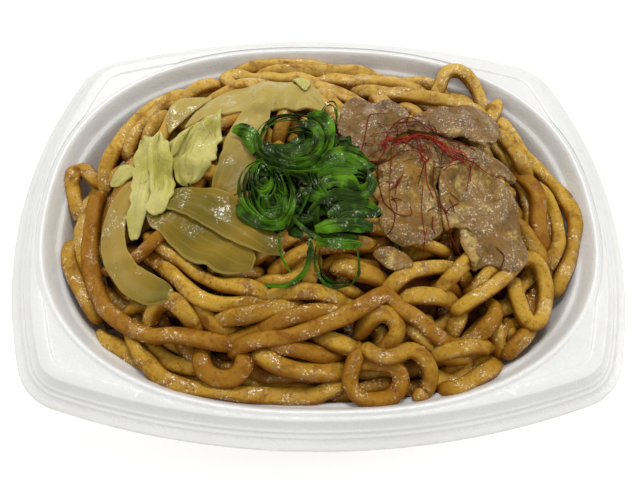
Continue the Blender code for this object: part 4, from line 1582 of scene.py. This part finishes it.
def make_core():
    """A dark mound under the noodles, for what shows deep between them. Its dark brown is painted shade, with some
    sauce brown.
    """
    built = bmesh.new()
    angles = [2 * math.pi * i / CORE_ANGLES for i in range(CORE_ANGLES)]
    shares = [0.0] + [0.08 * k for k in range(1, 12)] + [0.93]
    rows = []
    for share in shares[1:]:
        row = []
        for angle in angles:
            unit = np.array([math.cos(angle)]), np.array([math.sin(angle)])
            reach = CORE_REACH * share / food_edge(*unit)[0]
            x, y = unit[0] * reach, unit[1] * reach
            z = max(
                heap_height(x, y)[0] - CORE_DEPTH - CORE_EDGE_DROP * share**4,
                bowl_height(x, y)[0] + 0.0002,
            )
            row.append(built.verts.new((x[0], y[0], z)))
        rows.append(row)
    foot = []
    for vertex in rows[-1]:
        x, y = vertex.co.x, vertex.co.y
        foot.append(built.verts.new((x, y, bowl_height(np.array([x]), np.array([y]))[0] + 0.0001)))
    rows.append(foot)
    middle = (0, 0, heap_height(np.zeros(1), np.zeros(1))[0] - CORE_DEPTH)
    close_rings(built, rows, middle, (0, 0, FLOOR_TOP + 0.0001))
    mesh = smooth_mesh(built, "core")
    # The core's dark brown is painted shade for the deep gaps between the noodles, with sauce brown in it.
    made = Finish("deep_sauce", roughness=0.5)
    made.shine(0.15)
    made.colour(
        made.mix(made.ramp(made.noise(200, 3), 0.4, 0.6), (0.11, 0.028, 0.005), (0.22, 0.066, 0.010))
    )
    made.bump((made.noise(300, 3), 0.001))
    mesh.materials.append(made.material)
    return add_piece("noodle_core", mesh, ["noodle_heap"], "noodle")


def wander(rng, start, length):
    """A loose curving plan line from this place that keeps inside the food's edge."""
    step = 0.002
    place = np.array(start, float)
    heading = rng.uniform(0, 2 * math.pi)
    turn = rng.normal(0, 18)
    line = [place.copy()]
    for _ in range(int(length / step)):
        turn = 0.93 * turn + rng.normal(0, 9)
        turn = max(-75.0, min(75.0, turn))
        heading += turn * step
        for _ in range(12):
            ahead = place + 0.006 * np.array([math.cos(heading), math.sin(heading)])
            if food_edge(*ahead.reshape(2, 1))[0] < 0.97:
                break
            side = math.cos(heading) * place[1] - math.sin(heading) * place[0]
            heading += math.copysign(0.12, side)
        place = place + step * np.array([math.cos(heading), math.sin(heading)])
        line.append(place.copy())
    return np.array(line)


def strand_form(rng, line, spread=0.045):
    """How a noodle's thickness and twist vary along it. Its ends are thinner, and dip under the rest."""
    count = len(line)
    shares = rng.uniform(0.88, 1.08) + drift(rng, count, NOODLE_STEP, spread)
    tilts = rng.uniform(-0.7, 0.7) + drift(rng, count, NOODLE_STEP, 0.45)
    gaps = np.linalg.norm(np.diff(line[:, :2], axis=0), axis=1)
    along = np.concatenate([[0], np.cumsum(gaps)])
    to_end = np.minimum(along, along[-1] - along)
    dip = np.clip(1 - to_end / END_DIP_LENGTH, 0, 1) ** 2
    line = line.copy()
    line[:, 2] -= END_DIP * dip
    line[:, 2] = np.maximum(line[:, 2], bowl_height(line[:, 0], line[:, 1]) + 0.0024)
    tip = np.sqrt(1 - np.clip(1 - to_end / 0.0028, 0, 1) ** 2 * 0.92)
    return line, shares * (1 - 0.15 * dip) * tip, tilts


def fill_noodles(pile, rng, width, fill, shown=None):
    """Lays wandering noodles where the pile is low. A noodle that would stand too high is left out."""
    tries, start_gap, most_over, length = fill
    laid = []
    room = food_edge(pile.x, pile.y) < 0.94
    wanted = heap_height(pile.x, pile.y) + most_over
    for _ in range(tries):
        short = np.where(room, wanted + width / 2 - pile.top, -1.0)
        places = np.argwhere(short > start_gap)
        if len(places) == 0:
            break
        i, j = places[rng.integers(len(places))]
        line = wander(rng, (pile.x[i, j], pile.y[i, j]), rng.uniform(*length))
        cells = pile.cells(line)
        if shown is not None and shown[cells[:, 0], cells[:, 1]].mean() > 0.3:
            continue
        points = lay_strand(pile, even_line(smooth_line(line[::3], 0.002), 0.0016), width)
        over = points[:, 2] - heap_height(points[:, 0], points[:, 1])
        if over.mean() > most_over or over.max() > most_over + 0.0030:
            continue
        pile.press(points, width / 2 * pile.SQUEEZE)
        laid.append(strand_form(rng, points))
    return laid


def edge_noodles(rng):
    """Noodles that lie deep along the bowl's wall, and show in the gaps between the others there."""
    made = []
    for share, deep in EDGE_ROUNDS:
        start = rng.uniform(0, 2 * math.pi)
        angle = start
        while angle < start + 2 * math.pi:
            turns = np.arange(angle, angle + rng.uniform(*EDGE_SWEEP), 0.02)
            x, y = np.cos(turns), np.sin(turns)
            reach = (share + drift(rng, len(turns), 0.002, 0.015)) / food_edge(x, y)
            line = even_line(np.column_stack([x * reach, y * reach]), NOODLE_STEP)
            depth = deep * MM + drift(rng, len(line), NOODLE_STEP, 0.0006)
            points = np.column_stack([line, heap_height(line[:, 0], line[:, 1]) - depth])
            made.append(strand_form(rng, points))
            angle = turns[-1] - 0.1
    return made


def noodle_pieces(name, strands, finish, most=60, **values):
    """Pieces of these noodles, with so many in each."""
    pieces = []
    for start in range(0, len(strands), most):
        part = f"{name}_{start // most + 1}" if len(strands) > most else name
        mesh = strand_mesh(part, strands[start : start + most], finish, **values)
        mesh.set_sharp_from_angle(angle=math.radians(60))
        places = np.empty(3 * len(mesh.vertices))
        mesh.vertices.foreach_get("co", places)
        x, y, z = places.reshape(-1, 3).T
        # Depth under the heap's surface and how much each point faces up, for the painted shade of the noodle finish.
        store(mesh, "depth", (heap_height(x, y) - z) / MM)
        normals = np.empty(3 * len(mesh.vertices))
        mesh.vertices.foreach_get("normal", normals)
        store(mesh, "up", normals[2::3])
        pieces.append(add_piece(part, mesh, ["noodle_heap"], "noodle"))
    return pieces


def make_noodles(pile):
    """All noodles: those that lie below, the ones that show most, and those that fill in between."""
    rng = np.random.default_rng(sizes().seed)
    width, height = sizes().noodle_width, sizes().noodle_height
    low = fill_noodles(pile, rng, height, (sizes().under_noodles, *LOW_FILL))
    before = pile.top.copy()
    lines, limits = [], []
    for depth, route in SHOWN_NOODLES:
        knots = np.array([(*point, 0.0)[:3] for point in route]) * MM
        line = even_line(smooth_line(knots, 0.001), NOODLE_STEP)
        points = lay_strand(pile, line[:, :2], height, depth * MM - line[:, 2])
        pile.press(points, height / 2 * pile.SQUEEZE)
        lines.append(points)
        limits.append(heap_height(line[:, 0], line[:, 1]) + MOST_OVER + line[:, 2])
    pile.top = before
    shown = []
    covered = np.zeros(pile.top.shape, bool)
    for points in pile.push_under(lines, height / 2 * pile.SQUEEZE, limits):
        pile.press(points, height / 2 * pile.SQUEEZE)
        shown.append(strand_form(rng, points))
        i, j, _ = pile.under(points, 0.0045)
        covered[i, j] = True
    under_toppings = (pile.y > TOPPINGS_FRONT) & (food_edge(pile.x, pile.y) < TOPPINGS_REACH)
    covered &= ~under_toppings
    top = fill_noodles(pile, rng, height, SHORT_FILL)
    for fill in TOP_FILLS:
        top += fill_noodles(pile, rng, height, fill, covered)
    pale, middle, sauce = (
        tuple(colour) for colour in (colours().noodle_pale, colours().noodle, colours().sauce)
    )
    # A darker copy of the noodle colours for the noodles that lie below: painted shade, with some sauce brown.
    deep = tinted(middle, 0.62)
    finish = noodle_finish("noodle", pale, middle, sauce)
    under = noodle_finish("noodle_below", middle, deep, tinted(sauce, 0.6))
    body = dict(
        width=width, height=height, corner=0.0017, lump_depth=0.0006, lump_scale=140.0, seed=sizes().seed
    )
    made = noodle_pieces("noodles_below", low, under, 120, corner_steps=1, **body)
    around = edge_noodles(np.random.default_rng(sizes().seed + 5))
    made += noodle_pieces("noodles_around", around, finish, 60, corner_steps=1, **body)
    made += noodle_pieces("noodles_shown", shown, finish, 60, corner_steps=2, **body)
    made += noodle_pieces("noodles_between", top, finish, 80, corner_steps=2, **body)
    return made


# ---------------------------------------------------------------- slices


def width_share(t, start, end):
    """A slice's width along it, from 0 to 1, with rounded ends that are this blunt."""
    share = np.ones_like(t)
    for along, blunt in ((t, start), (1 - t, end)):
        reach = 0.42 - 0.28 * blunt
        inside = np.clip(1 - along / reach, 0, 1)
        share *= np.maximum(1 - inside**2, 0.0) ** (0.5 if blunt > 0.45 else 0.75)
    return np.maximum(share, 0.10 + 0.25 * np.minimum(start, end))


def make_slice(pile, entry, kind, finish, number):
    """A thin slice draped over the pile along its middle line, with folds, wrinkles and uneven edges."""
    name, route, (thickness, arch, fold_depth, folds, start, end, wrinkle) = entry
    rng = np.random.default_rng(100 + number)
    line = even_line(smooth_line(np.array(route) * MM, 0.001), 0.001)
    rows = len(line)
    half = line[:, 2:] / 2
    columns = max(9, int(2 * half.max() / MM) | 1)
    t = np.linspace(0, 1, rows)[:, None]
    s = np.linspace(-1, 1, columns)[None, :]
    run, side = directions(line)
    widest = half.max()
    half = (half - 0.4 * thickness * MM) * width_share(t, start, end)
    ragged = RAGGED[kind]
    left = 1 + drift(rng, rows, 0.001 * 4, ragged)[:, None]
    right = 1 + drift(rng, rows, 0.001 * 4, ragged)[:, None]
    reach = half * np.where(s < 0, left, right)
    x = line[:, :1] + side[:, :1] * reach * s
    y = line[:, 1:2] + side[:, 1:] * reach * s
    flat = np.column_stack([x.ravel(), y.ravel()])
    gap = thickness * MM / 2
    low = pile.near(flat, 0.0008) + gap
    low = np.maximum(low, heap_height(flat[:, 0], flat[:, 1]) + HELD_LIFT.get(name, LEAST_LIFT) * MM)
    low = low.reshape(rows, columns)
    high = low.copy()
    for _ in range(60):
        high = np.maximum(low, neighbours(high) / 4 - SAG[kind])
    for _ in range(4):
        high = (neighbours(high) + 4 * high) / 8
    high += arch * MM * (1 - s**2) * np.minimum(1.0, half / widest)
    if folds:
        phase = rng.uniform(0, 2 * math.pi) + drift(rng, rows, 0.002, 0.6)[:, None]
        strength = 0.7 + 0.5 * np.sin(math.pi * t * rng.uniform(0.8, 1.6) + rng.uniform(0, 2))
        high += fold_depth * MM * strength * (0.5 + 0.5 * np.sin(math.pi * folds * s + phase))
    for i in range(rows):
        for j in range(columns):
            place = Vector((x[i, j], y[i, j], 0.003 * number))
            coarse = noise.noise(place * 130)
            fine = noise.noise(place * 330)
            high[i, j] += wrinkle * MM * (0.8 * coarse + 0.35 * fine)
    mesh = bpy.data.meshes.new(name)
    points = np.column_stack([flat, high.ravel()])
    faces = [
        (i * columns + j, i * columns + j + 1, (i + 1) * columns + j + 1, (i + 1) * columns + j)
        for i in range(rows - 1)
        for j in range(columns - 1)
    ]
    mesh.from_pydata([tuple(p) for p in points], [], faces)
    store(mesh, "edge", np.maximum(np.abs(s), np.abs(2 * t - 1) ** 6 + 0 * s).ravel())
    store(mesh, "vein", (0.5 + 0.5 * np.cos(math.pi * VEINS[kind] * s + 1.2 * np.sin(5 * t))).ravel())
    store(
        mesh,
        "fat",
        (FATNESS.get(name, 0.0) + 0.12 * np.sin(2.2 * t * math.pi + number) - 0.06 * s).ravel(),
    )
    guide = bpy.data.objects.new(name + "_guide", mesh)
    put_in_scene(guide)
    if run[0, 0] * side[0, 1] - run[0, 1] * side[0, 0] > 0:
        mesh.flip_normals()
    solid = guide.modifiers.new("Thickness", "SOLIDIFY")
    solid.thickness = thickness * MM
    solid.offset = 0
    smooth = guide.modifiers.new("Smooth", "SUBSURF")
    smooth.levels = 1
    smooth.render_levels = 1
    done = plain_mesh(guide, finish)
    done.shade_smooth()
    piece = add_piece("slice_" + name, done, STANDS_FOR.get(name, [name]), kind)
    pile.cover(piece)
    return piece


# ---------------------------------------------------------------- spring onion


def above_heap(pile, line, clearance):
    """Heights of a line given as x, y and height above the heap, kept clear of what lies under it."""
    under = pile.near(line[:, :2], 0.0010) + clearance
    return round_off(np.maximum(heap_height(line[:, 0], line[:, 1]) + line[:, 2], under), 6)


def onion_loop(pile, rng, entry):
    """Nested ribbons round one loop, as they come when a stem is cut across."""
    centre, half, rise, turn, lean, towards, strands, spacing, start, sweep, share, stand = entry
    made = []
    for nest in range(strands):
        inset = nest * spacing * rng.uniform(0.85, 1.15)
        shift = rng.normal(0, 0.2, 2)
        first = math.radians(start + rng.uniform(-12, 12))
        round_by = math.radians(sweep * rng.uniform(0.94, 1.0))
        count = max(16, int(round_by * (half[0] + half[1]) / 2 / 0.9))
        angles = np.linspace(first, first + round_by, count)
        wobble = 1 + 0.03 * np.sin(
            2 * angles + rng.uniform(0, 6)
        ) + 0.02 * np.sin(3 * angles + rng.uniform(0, 6))
        across = (half[0] - inset) * wobble * np.cos(angles)
        along = (half[1] - inset) * wobble * np.sin(angles)
        swing = math.radians(turn + rng.normal(0, 2))
        x = across * math.cos(swing) - along * math.sin(swing)
        y = across * math.sin(swing) + along * math.cos(swing)
        uphill = math.radians(towards)
        tip = (x * math.cos(uphill) + y * math.sin(uphill)) * math.tan(math.radians(lean))
        height = rise + tip - 0.3 * nest + drift(rng, count, 0.0015, 0.25)
        line = np.column_stack([centre[0] + shift[0] + x, centre[1] + shift[1] + y, height]) * MM
        line[:, 2] = above_heap(pile, line, 0.5 * MM)
        tilts = math.radians(stand) + drift(rng, count, 0.0015, 0.22)
        ends = narrow_ends(count, 0.45, 8)
        made.append((line, share * ends * (1 + drift(rng, count, 0.002, 0.08)), tilts))
    return made


def onion_shreds(pile, rng, tries):
    """Loose flat shreds that fill the heap of spring onion from below."""
    shreds = []
    for _ in range(tries):
        angle, share = rng.uniform(0, 2 * math.pi), math.sqrt(rng.uniform(0, 1))
        x = (-5 + 21 * share * math.cos(angle)) * MM
        y = (-2 + 24 * share * math.sin(angle)) * MM
        size, sweep = rng.uniform(4, 9) * MM, rng.uniform(0.9, 2.2)
        count = 18
        turns = np.linspace(0, sweep, count) + rng.uniform(0, 2 * math.pi)
        flat = np.column_stack([x + size * (np.cos(turns) - np.cos(turns[count // 2])), 0.0 * turns])
        flat[:, 1] = y + size * (np.sin(turns) - np.sin(turns[count // 2]))
        inside = ((flat[:, 0] + 5 * MM) / (24 * MM)) ** 2 + ((flat[:, 1] + 2 * MM) / (26 * MM)) ** 2
        hollow = np.hypot(flat[:, 0] + 15 * MM, flat[:, 1] - 17 * MM)
        if inside.max() > 1 or hollow.min() < 6 * MM:
            continue
        z = round_off(settle(pile.near(flat, 0.0012) + 0.3 * MM, 10), 4)
        if (z - heap_height(flat[:, 0], flat[:, 1])).max() > 0.0085:
            continue
        points = np.column_stack([flat, z])
        pile.press(points, 0.0006)
        shreds.append(
            (
                points,
                1 + drift(rng, count, 0.002, 0.12),
                rng.uniform(-0.3, 0.6) + drift(rng, count, 0.002, 0.25),
            )
        )
    return shreds


def make_spring_onion(pile):
    """The heap of cut spring onion: nested loops, broad folded strips, and loose shreds under them."""
    rng = np.random.default_rng(sizes().seed + 11)
    finish = leaf_finish("spring_onion", 1.0)
    # A darker copy of the green for the shreds that lie below: painted shade.
    below = leaf_finish("spring_onion_below", 0.35)
    shreds = onion_shreds(pile, rng, 420)
    loops = []
    for entry in ONION_LOOPS:
        loops += onion_loop(pile, rng, entry)
    strips = []
    for route, width, stand in ONION_STRIPS:
        line = even_line(smooth_line(np.array(route) * MM, 0.0008), 0.0008)
        line[:, 2] = above_heap(pile, line, 0.5 * MM)
        tilts = math.radians(stand) + drift(rng, len(line), 0.0015, 0.22)
        ends = narrow_ends(len(line), 0.5, 9)
        strips.append((line, width / 4 * ends * (1 + drift(rng, len(line), 0.002, 0.05)), tilts))
    pieces = []
    thin = dict(corner=0.0001, corner_steps=1, lump_depth=0.0004, lump_scale=260.0)
    for name, strands, width, height, skin in (
        ("spring_onion_shreds", shreds, 0.0032, 0.00035, below),
        ("spring_onion_loops", loops, 0.0020, 0.00035, finish),
        ("spring_onion_strips", strips, 0.0040, 0.00040, finish),
    ):
        mesh = strand_mesh(name, strands, skin, width=width, height=height, seed=len(pieces) + 3, **thin)
        mesh.set_sharp_from_angle(angle=math.radians(50))
        piece = add_piece(name, mesh, ["spring_onion_heap"], "spring_onion")
        pieces.append(piece)
    for piece in pieces:
        pile.cover(piece)
    return pieces


# ---------------------------------------------------------------- chili and pepper


def thread_points(pile, line, lift):
    """A stiff thin thread over the pile along this line."""
    under = pile.near(line, 0.0004)
    z = round_off(settle(under + 0.0002, 20), 3) + lift
    return np.column_stack([line, z])


def twist_threads(pile, rng):
    """The threads of the thick twist, each along its own stretch of it, spreading at both ends."""
    whole = even_line(smooth_line(np.array(CHILI_TWIST) * MM, 0.0007), 0.0007)
    made = []
    for _ in range(TWIST_THREADS):
        first = int(rng.uniform(0, 0.35) * len(whole))
        last = int(rng.uniform(0.68, 1.0) * len(whole))
        line = whole[first:last]
        place = np.linspace(first, last, len(line)) / len(whole)
        spread = (1.05 + 1.6 * np.abs(2 * place - 1) ** 2) * MM
        side = directions(line)[1]
        off = rng.normal(0, 1.0) * spread + drift(rng, len(line), 0.003, 0.4) * spread
        flat = line[:, :2] + side * off[:, None]
        lift = line[:, 2] * 0.5 + rng.uniform(-0.4, 0.9) * MM
        points = thread_points(pile, flat, np.maximum(lift, 0.0))
        made.append((points, 1 + drift(rng, len(line), 0.001, 0.12), np.zeros(len(line))))
    return made


def stray_threads(pile, rng):
    """Short loose threads near the twist and a few elsewhere."""
    made = []
    for centre, spread, count, length, lifts in STRAY_THREADS:
        for _ in range(count):
            start = np.array(centre) + rng.normal(0, 0.7, 2) * np.array(spread)
            span = rng.uniform(*length)
            heading, turn = rng.uniform(0, 2 * math.pi), rng.normal(0, 0.045)
            steps = max(4, int(span / 0.8))
            turns = heading + np.cumsum(turn + drift(rng, steps, 0.0015, 0.04))
            flat = start + np.cumsum(0.8 * np.column_stack([np.cos(turns), np.sin(turns)]), axis=0)
            flat *= MM
            if food_edge(flat[:, 0], flat[:, 1]).max() > 0.93:
                continue
            arc = np.sin(np.linspace(0, math.pi, steps)) * rng.uniform(*lifts) * MM
            points = thread_points(pile, flat, arc)
            made.append(
                (points, 0.7 + 0.3 * rng.uniform() + drift(rng, steps, 0.001, 0.10), np.zeros(steps))
            )
    return made


def make_threads(pile):
    """Hair-thin shreds of dried chili: long loose ones, a thick bright twist, and strays."""
    rng = np.random.default_rng(sizes().seed + 23)
    threads = []
    for route in CHILI_THREADS:
        line = even_line(smooth_line(np.array(route) * MM, 0.0007), 0.0007)
        points = thread_points(pile, line[:, :2], (line[:, 2] - 0.8 * MM) * 0.6)
        threads.append((points, 1 + drift(rng, len(line), 0.001, 0.12), np.zeros(len(line))))
    size = sizes().thread_thickness
    form = dict(
        width=size, height=0.8 * size, corner=0.0001, corner_steps=1, lump_depth=0.00005, lump_scale=900.0
    )
    threads += stray_threads(pile, rng)
    loose = strand_mesh("chili_threads", threads, chili_finish("chili", 0.55), seed=5, **form)
    twist = strand_mesh(
        "chili_twist", twist_threads(pile, rng), chili_finish("chili_bright", 1.0), seed=6, **form
    )
    return [add_piece("chili_threads", loose), add_piece("chili_twist", twist)]


def make_pepper(hosts):
    """Fine pepper specks on the upper sides of these pieces."""
    finish = pepper_finish()
    tree = bpy.data.node_groups.get("Speck maker") or speck_tree()
    meshes = []
    for number, (host, density) in enumerate(hosts):
        guide = bpy.data.objects.new("specks_guide", host.data.copy())
        put_in_scene(guide)
        use_tree(guide, tree, finish=finish, density=density, size=sizes().pepper_size, seed=number)
        meshes.append(plain_mesh(guide, finish))
    joined = bmesh.new()
    for mesh in meshes:
        joined.from_mesh(mesh)
        bpy.data.meshes.remove(mesh)
    mesh = smooth_mesh(joined, "pepper")
    mesh.materials.append(finish)
    return add_piece("pepper_specks", mesh)


# ---------------------------------------------------------------- stage

CAMERA_TURN = math.radians(-3.77)
CAMERA_RISE = math.radians(59.8)
CAMERA_ROLL = math.radians(3.38)
CAMERA_DISTANCE = 0.2512
CAMERA_TARGET = Vector((-0.00102, -0.01767, 0.036))
CAMERA_LENS = 36.6

SURROUND_STRENGTH = 0.53
FLOOR_GLOW = 0.34
FLOOR_REACH = 3.0

# Soft lights: name, place, size, watts, and how warm
LIGHTS = (
    ("back_light", (-0.35, 0.85, 0.75), 0.6, 2.1, (1.0, 0.995, 0.98)),
    ("top_light", (0.05, 0.42, 0.98), 0.24, 4.9, (1.0, 1.0, 1.0)),
    ("front_light", (-0.25, -0.80, 0.95), 0.6, 1.7, (1.0, 1.0, 1.0)),
    ("right_light", (0.85, 0.05, 0.60), 0.5, 2.3, (1.0, 1.0, 1.0)),
    ("left_light", (-0.85, 0.05, 0.60), 0.5, 1.0, (1.0, 1.0, 1.0)),
)


def make_stage():
    """A pale table, a pale surround, soft lights and the camera."""
    mesh = bpy.data.meshes.new("floor")
    corners = [(x * FLOOR_REACH, y * FLOOR_REACH, 0) for x, y in ((-1, -1), (1, -1), (1, 1), (-1, 1))]
    mesh.from_pydata(corners, [], [(0, 1, 2, 3)])
    mesh.materials.append(floor_finish())
    floor = bpy.data.objects.new("floor", mesh)
    floor.location.z = -0.0001
    put_in_scene(floor)
    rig.stage(floor)
    scene = bpy.context.scene
    world = bpy.data.worlds.new("surround")
    world.use_nodes = True
    world.node_tree.nodes["Background"].inputs["Color"].default_value = (1.0, 1.0, 1.0, 1.0)
    world.node_tree.nodes["Background"].inputs["Strength"].default_value = SURROUND_STRENGTH
    scene.world = world
    for name, place, size, watts, colour in LIGHTS:
        lamp = bpy.data.lights.new(name, "AREA")
        lamp.shape = "DISK"
        lamp.size = size
        lamp.energy = watts
        lamp.color = colour
        holder = bpy.data.objects.new(name, lamp)
        holder.location = place
        holder.rotation_euler = (Vector((0, 0, 0.04)) - Vector(place)).to_track_quat("-Z", "Y").to_euler()
        put_in_scene(holder)
    camera = bpy.data.cameras.new("camera")
    camera.lens = CAMERA_LENS
    camera.sensor_width = 36.0
    camera.clip_start = 0.01
    holder = bpy.data.objects.new("camera", camera)
    flat, rise = math.cos(CAMERA_RISE), math.sin(CAMERA_RISE)
    back = Vector((math.sin(CAMERA_TURN) * flat, -math.cos(CAMERA_TURN) * flat, rise))
    right = Vector((math.cos(CAMERA_TURN), math.sin(CAMERA_TURN), 0))
    up = back.cross(right)
    turned_right = math.cos(CAMERA_ROLL) * right + math.sin(CAMERA_ROLL) * up
    turned_up = math.cos(CAMERA_ROLL) * up - math.sin(CAMERA_ROLL) * right
    frame_axes = Matrix((turned_right, turned_up, back)).transposed().to_4x4()
    frame_axes.translation = CAMERA_TARGET + CAMERA_DISTANCE * back
    holder.matrix_world = frame_axes
    put_in_scene(holder)
    scene.camera = holder
    scene.view_settings.view_transform = "Standard"
    return floor


# ---------------------------------------------------------------- the add-on

STATE = {}


def the_pile():
    """The pile that the pieces are laid on. It starts with the bowl."""
    if "pile" not in STATE:
        STATE["pile"] = Pile()
    return STATE["pile"]


def make_slices(kind, entries, finish, first):
    """All slices of one kind, from the bottom up."""
    return [make_slice(the_pile(), entry, kind, finish, first + i) for i, entry in enumerate(entries)]


def make_heap():
    """The core and all the noodles on it. Only the noodles are handed back, as the pepper lies on them."""
    make_core()
    return make_noodles(the_pile())


def pepper_hosts():
    """The pieces that pepper lies on, with how many specks each gets for a square metre."""
    if "Noodles" not in STATE:
        raise RuntimeError("make the noodles first")
    hosts = [(piece, 22000) for piece in STATE["Noodles"][1:]]
    hosts += [(piece, 26000) for piece in STATE.get("Onion", [])]
    return hosts + [(piece, 18000) for piece in STATE.get("Cabbage", [])]


def built(operator, make):
    """Runs a maker for this operator and keeps its pieces. What goes wrong is reported as an error."""
    try:
        STATE[operator.bl_label] = make()
    except (RuntimeError, ValueError) as error:
        operator.report({"ERROR"}, f"{operator.bl_label}: {error}")
        return {"CANCELLED"}
    return {"FINISHED"}


class YAKIUDON_OT_tray(bpy.types.Operator):
    """Makes the foam tray"""

    bl_idname = "yakiudon.tray"
    bl_label = "Foam Tray"
    bl_options = {"REGISTER", "UNDO"}

    def execute(self, context):
        return built(self, make_tray)


class YAKIUDON_OT_noodles(bpy.types.Operator):
    """Makes the noodles and the dark core under them"""

    bl_idname = "yakiudon.noodles"
    bl_label = "Noodles"
    bl_options = {"REGISTER", "UNDO"}

    def execute(self, context):
        return built(self, make_heap)


class YAKIUDON_OT_onion(bpy.types.Operator):
    """Makes the onion slices"""

    bl_idname = "yakiudon.onion"
    bl_label = "Onion"
    bl_options = {"REGISTER", "UNDO"}

    def execute(self, context):
        return built(self, lambda: make_slices("onion", ONIONS, onion_finish(), 1))


class YAKIUDON_OT_cabbage(bpy.types.Operator):
    """Makes the cabbage pieces"""

    bl_idname = "yakiudon.cabbage"
    bl_label = "Cabbage"
    bl_options = {"REGISTER", "UNDO"}

    def execute(self, context):
        return built(self, lambda: make_slices("cabbage", CABBAGES, cabbage_finish(), 20))


class YAKIUDON_OT_meat(bpy.types.Operator):
    """Makes the meat slices"""

    bl_idname = "yakiudon.meat"
    bl_label = "Meat"
    bl_options = {"REGISTER", "UNDO"}

    def execute(self, context):
        return built(self, lambda: make_slices("meat", MEATS, meat_finish(), 40))


class YAKIUDON_OT_spring_onion(bpy.types.Operator):
    """Makes the heap of spring onion"""

    bl_idname = "yakiudon.spring_onion"
    bl_label = "Spring Onion"
    bl_options = {"REGISTER", "UNDO"}

    def execute(self, context):
        return built(self, lambda: make_spring_onion(the_pile()))


class YAKIUDON_OT_threads(bpy.types.Operator):
    """Makes the chili threads"""

    bl_idname = "yakiudon.threads"
    bl_label = "Chili Threads"
    bl_options = {"REGISTER", "UNDO"}

    def execute(self, context):
        return built(self, lambda: make_threads(the_pile()))


class YAKIUDON_OT_pepper(bpy.types.Operator):
    """Scatters pepper on the noodles, onion and cabbage. Needs the noodles first"""

    bl_idname = "yakiudon.pepper"
    bl_label = "Pepper"
    bl_options = {"REGISTER", "UNDO"}

    def execute(self, context):
        return built(self, lambda: make_pepper(pepper_hosts()))


class YAKIUDON_OT_stage(bpy.types.Operator):
    """Makes the table, the lights and the camera"""

    bl_idname = "yakiudon.stage"
    bl_label = "Stage"
    bl_options = {"REGISTER", "UNDO"}

    def execute(self, context):
        return built(self, make_stage)


STEPS = (
    YAKIUDON_OT_tray,
    YAKIUDON_OT_noodles,
    YAKIUDON_OT_onion,
    YAKIUDON_OT_cabbage,
    YAKIUDON_OT_meat,
    YAKIUDON_OT_spring_onion,
    YAKIUDON_OT_threads,
    YAKIUDON_OT_pepper,
    YAKIUDON_OT_stage,
)


class YAKIUDON_PT_panel(bpy.types.Panel):
    """Lists the sizes, the colours and the steps"""

    bl_idname = "YAKIUDON_PT_panel"
    bl_label = "Yaki Udon"
    bl_space_type = "VIEW_3D"
    bl_region_type = "UI"
    bl_category = "Yaki Udon"

    def draw(self, context):
        """Draws a button for each step, then every size and colour."""
        for step in STEPS:
            self.layout.operator(step.bl_idname)
        for group in (context.scene.yaki_udon_sizes, context.scene.yaki_udon_colours):
            for name in group.__annotations__:
                self.layout.prop(group, name)


CLASSES = (YakiUdonSizes, YakiUdonColours, *STEPS, YAKIUDON_PT_panel)


def register():
    """Adds the panel, the steps and their values to Blender."""
    for each in CLASSES:
        bpy.utils.register_class(each)
    bpy.types.Scene.yaki_udon_sizes = bpy.props.PointerProperty(type=YakiUdonSizes)
    bpy.types.Scene.yaki_udon_colours = bpy.props.PointerProperty(type=YakiUdonColours)


def unregister():
    """Takes them away again."""
    del bpy.types.Scene.yaki_udon_colours
    del bpy.types.Scene.yaki_udon_sizes
    for each in reversed(CLASSES):
        bpy.utils.unregister_class(each)


def main():
    """Makes everything in order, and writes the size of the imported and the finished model."""
    register()
    for step in STEPS:
        folder, action = step.bl_idname.split(".")
        getattr(getattr(bpy.ops, folder), action)()
    as_lists = {
        "cad": [list(corner) for corner in CAD_BOX],
        "visual": [list(corner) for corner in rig.bounds()],
    }
    with open("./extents.json", "w") as file:
        json.dump(as_lists, file)


if __name__ == "__main__":
    main()
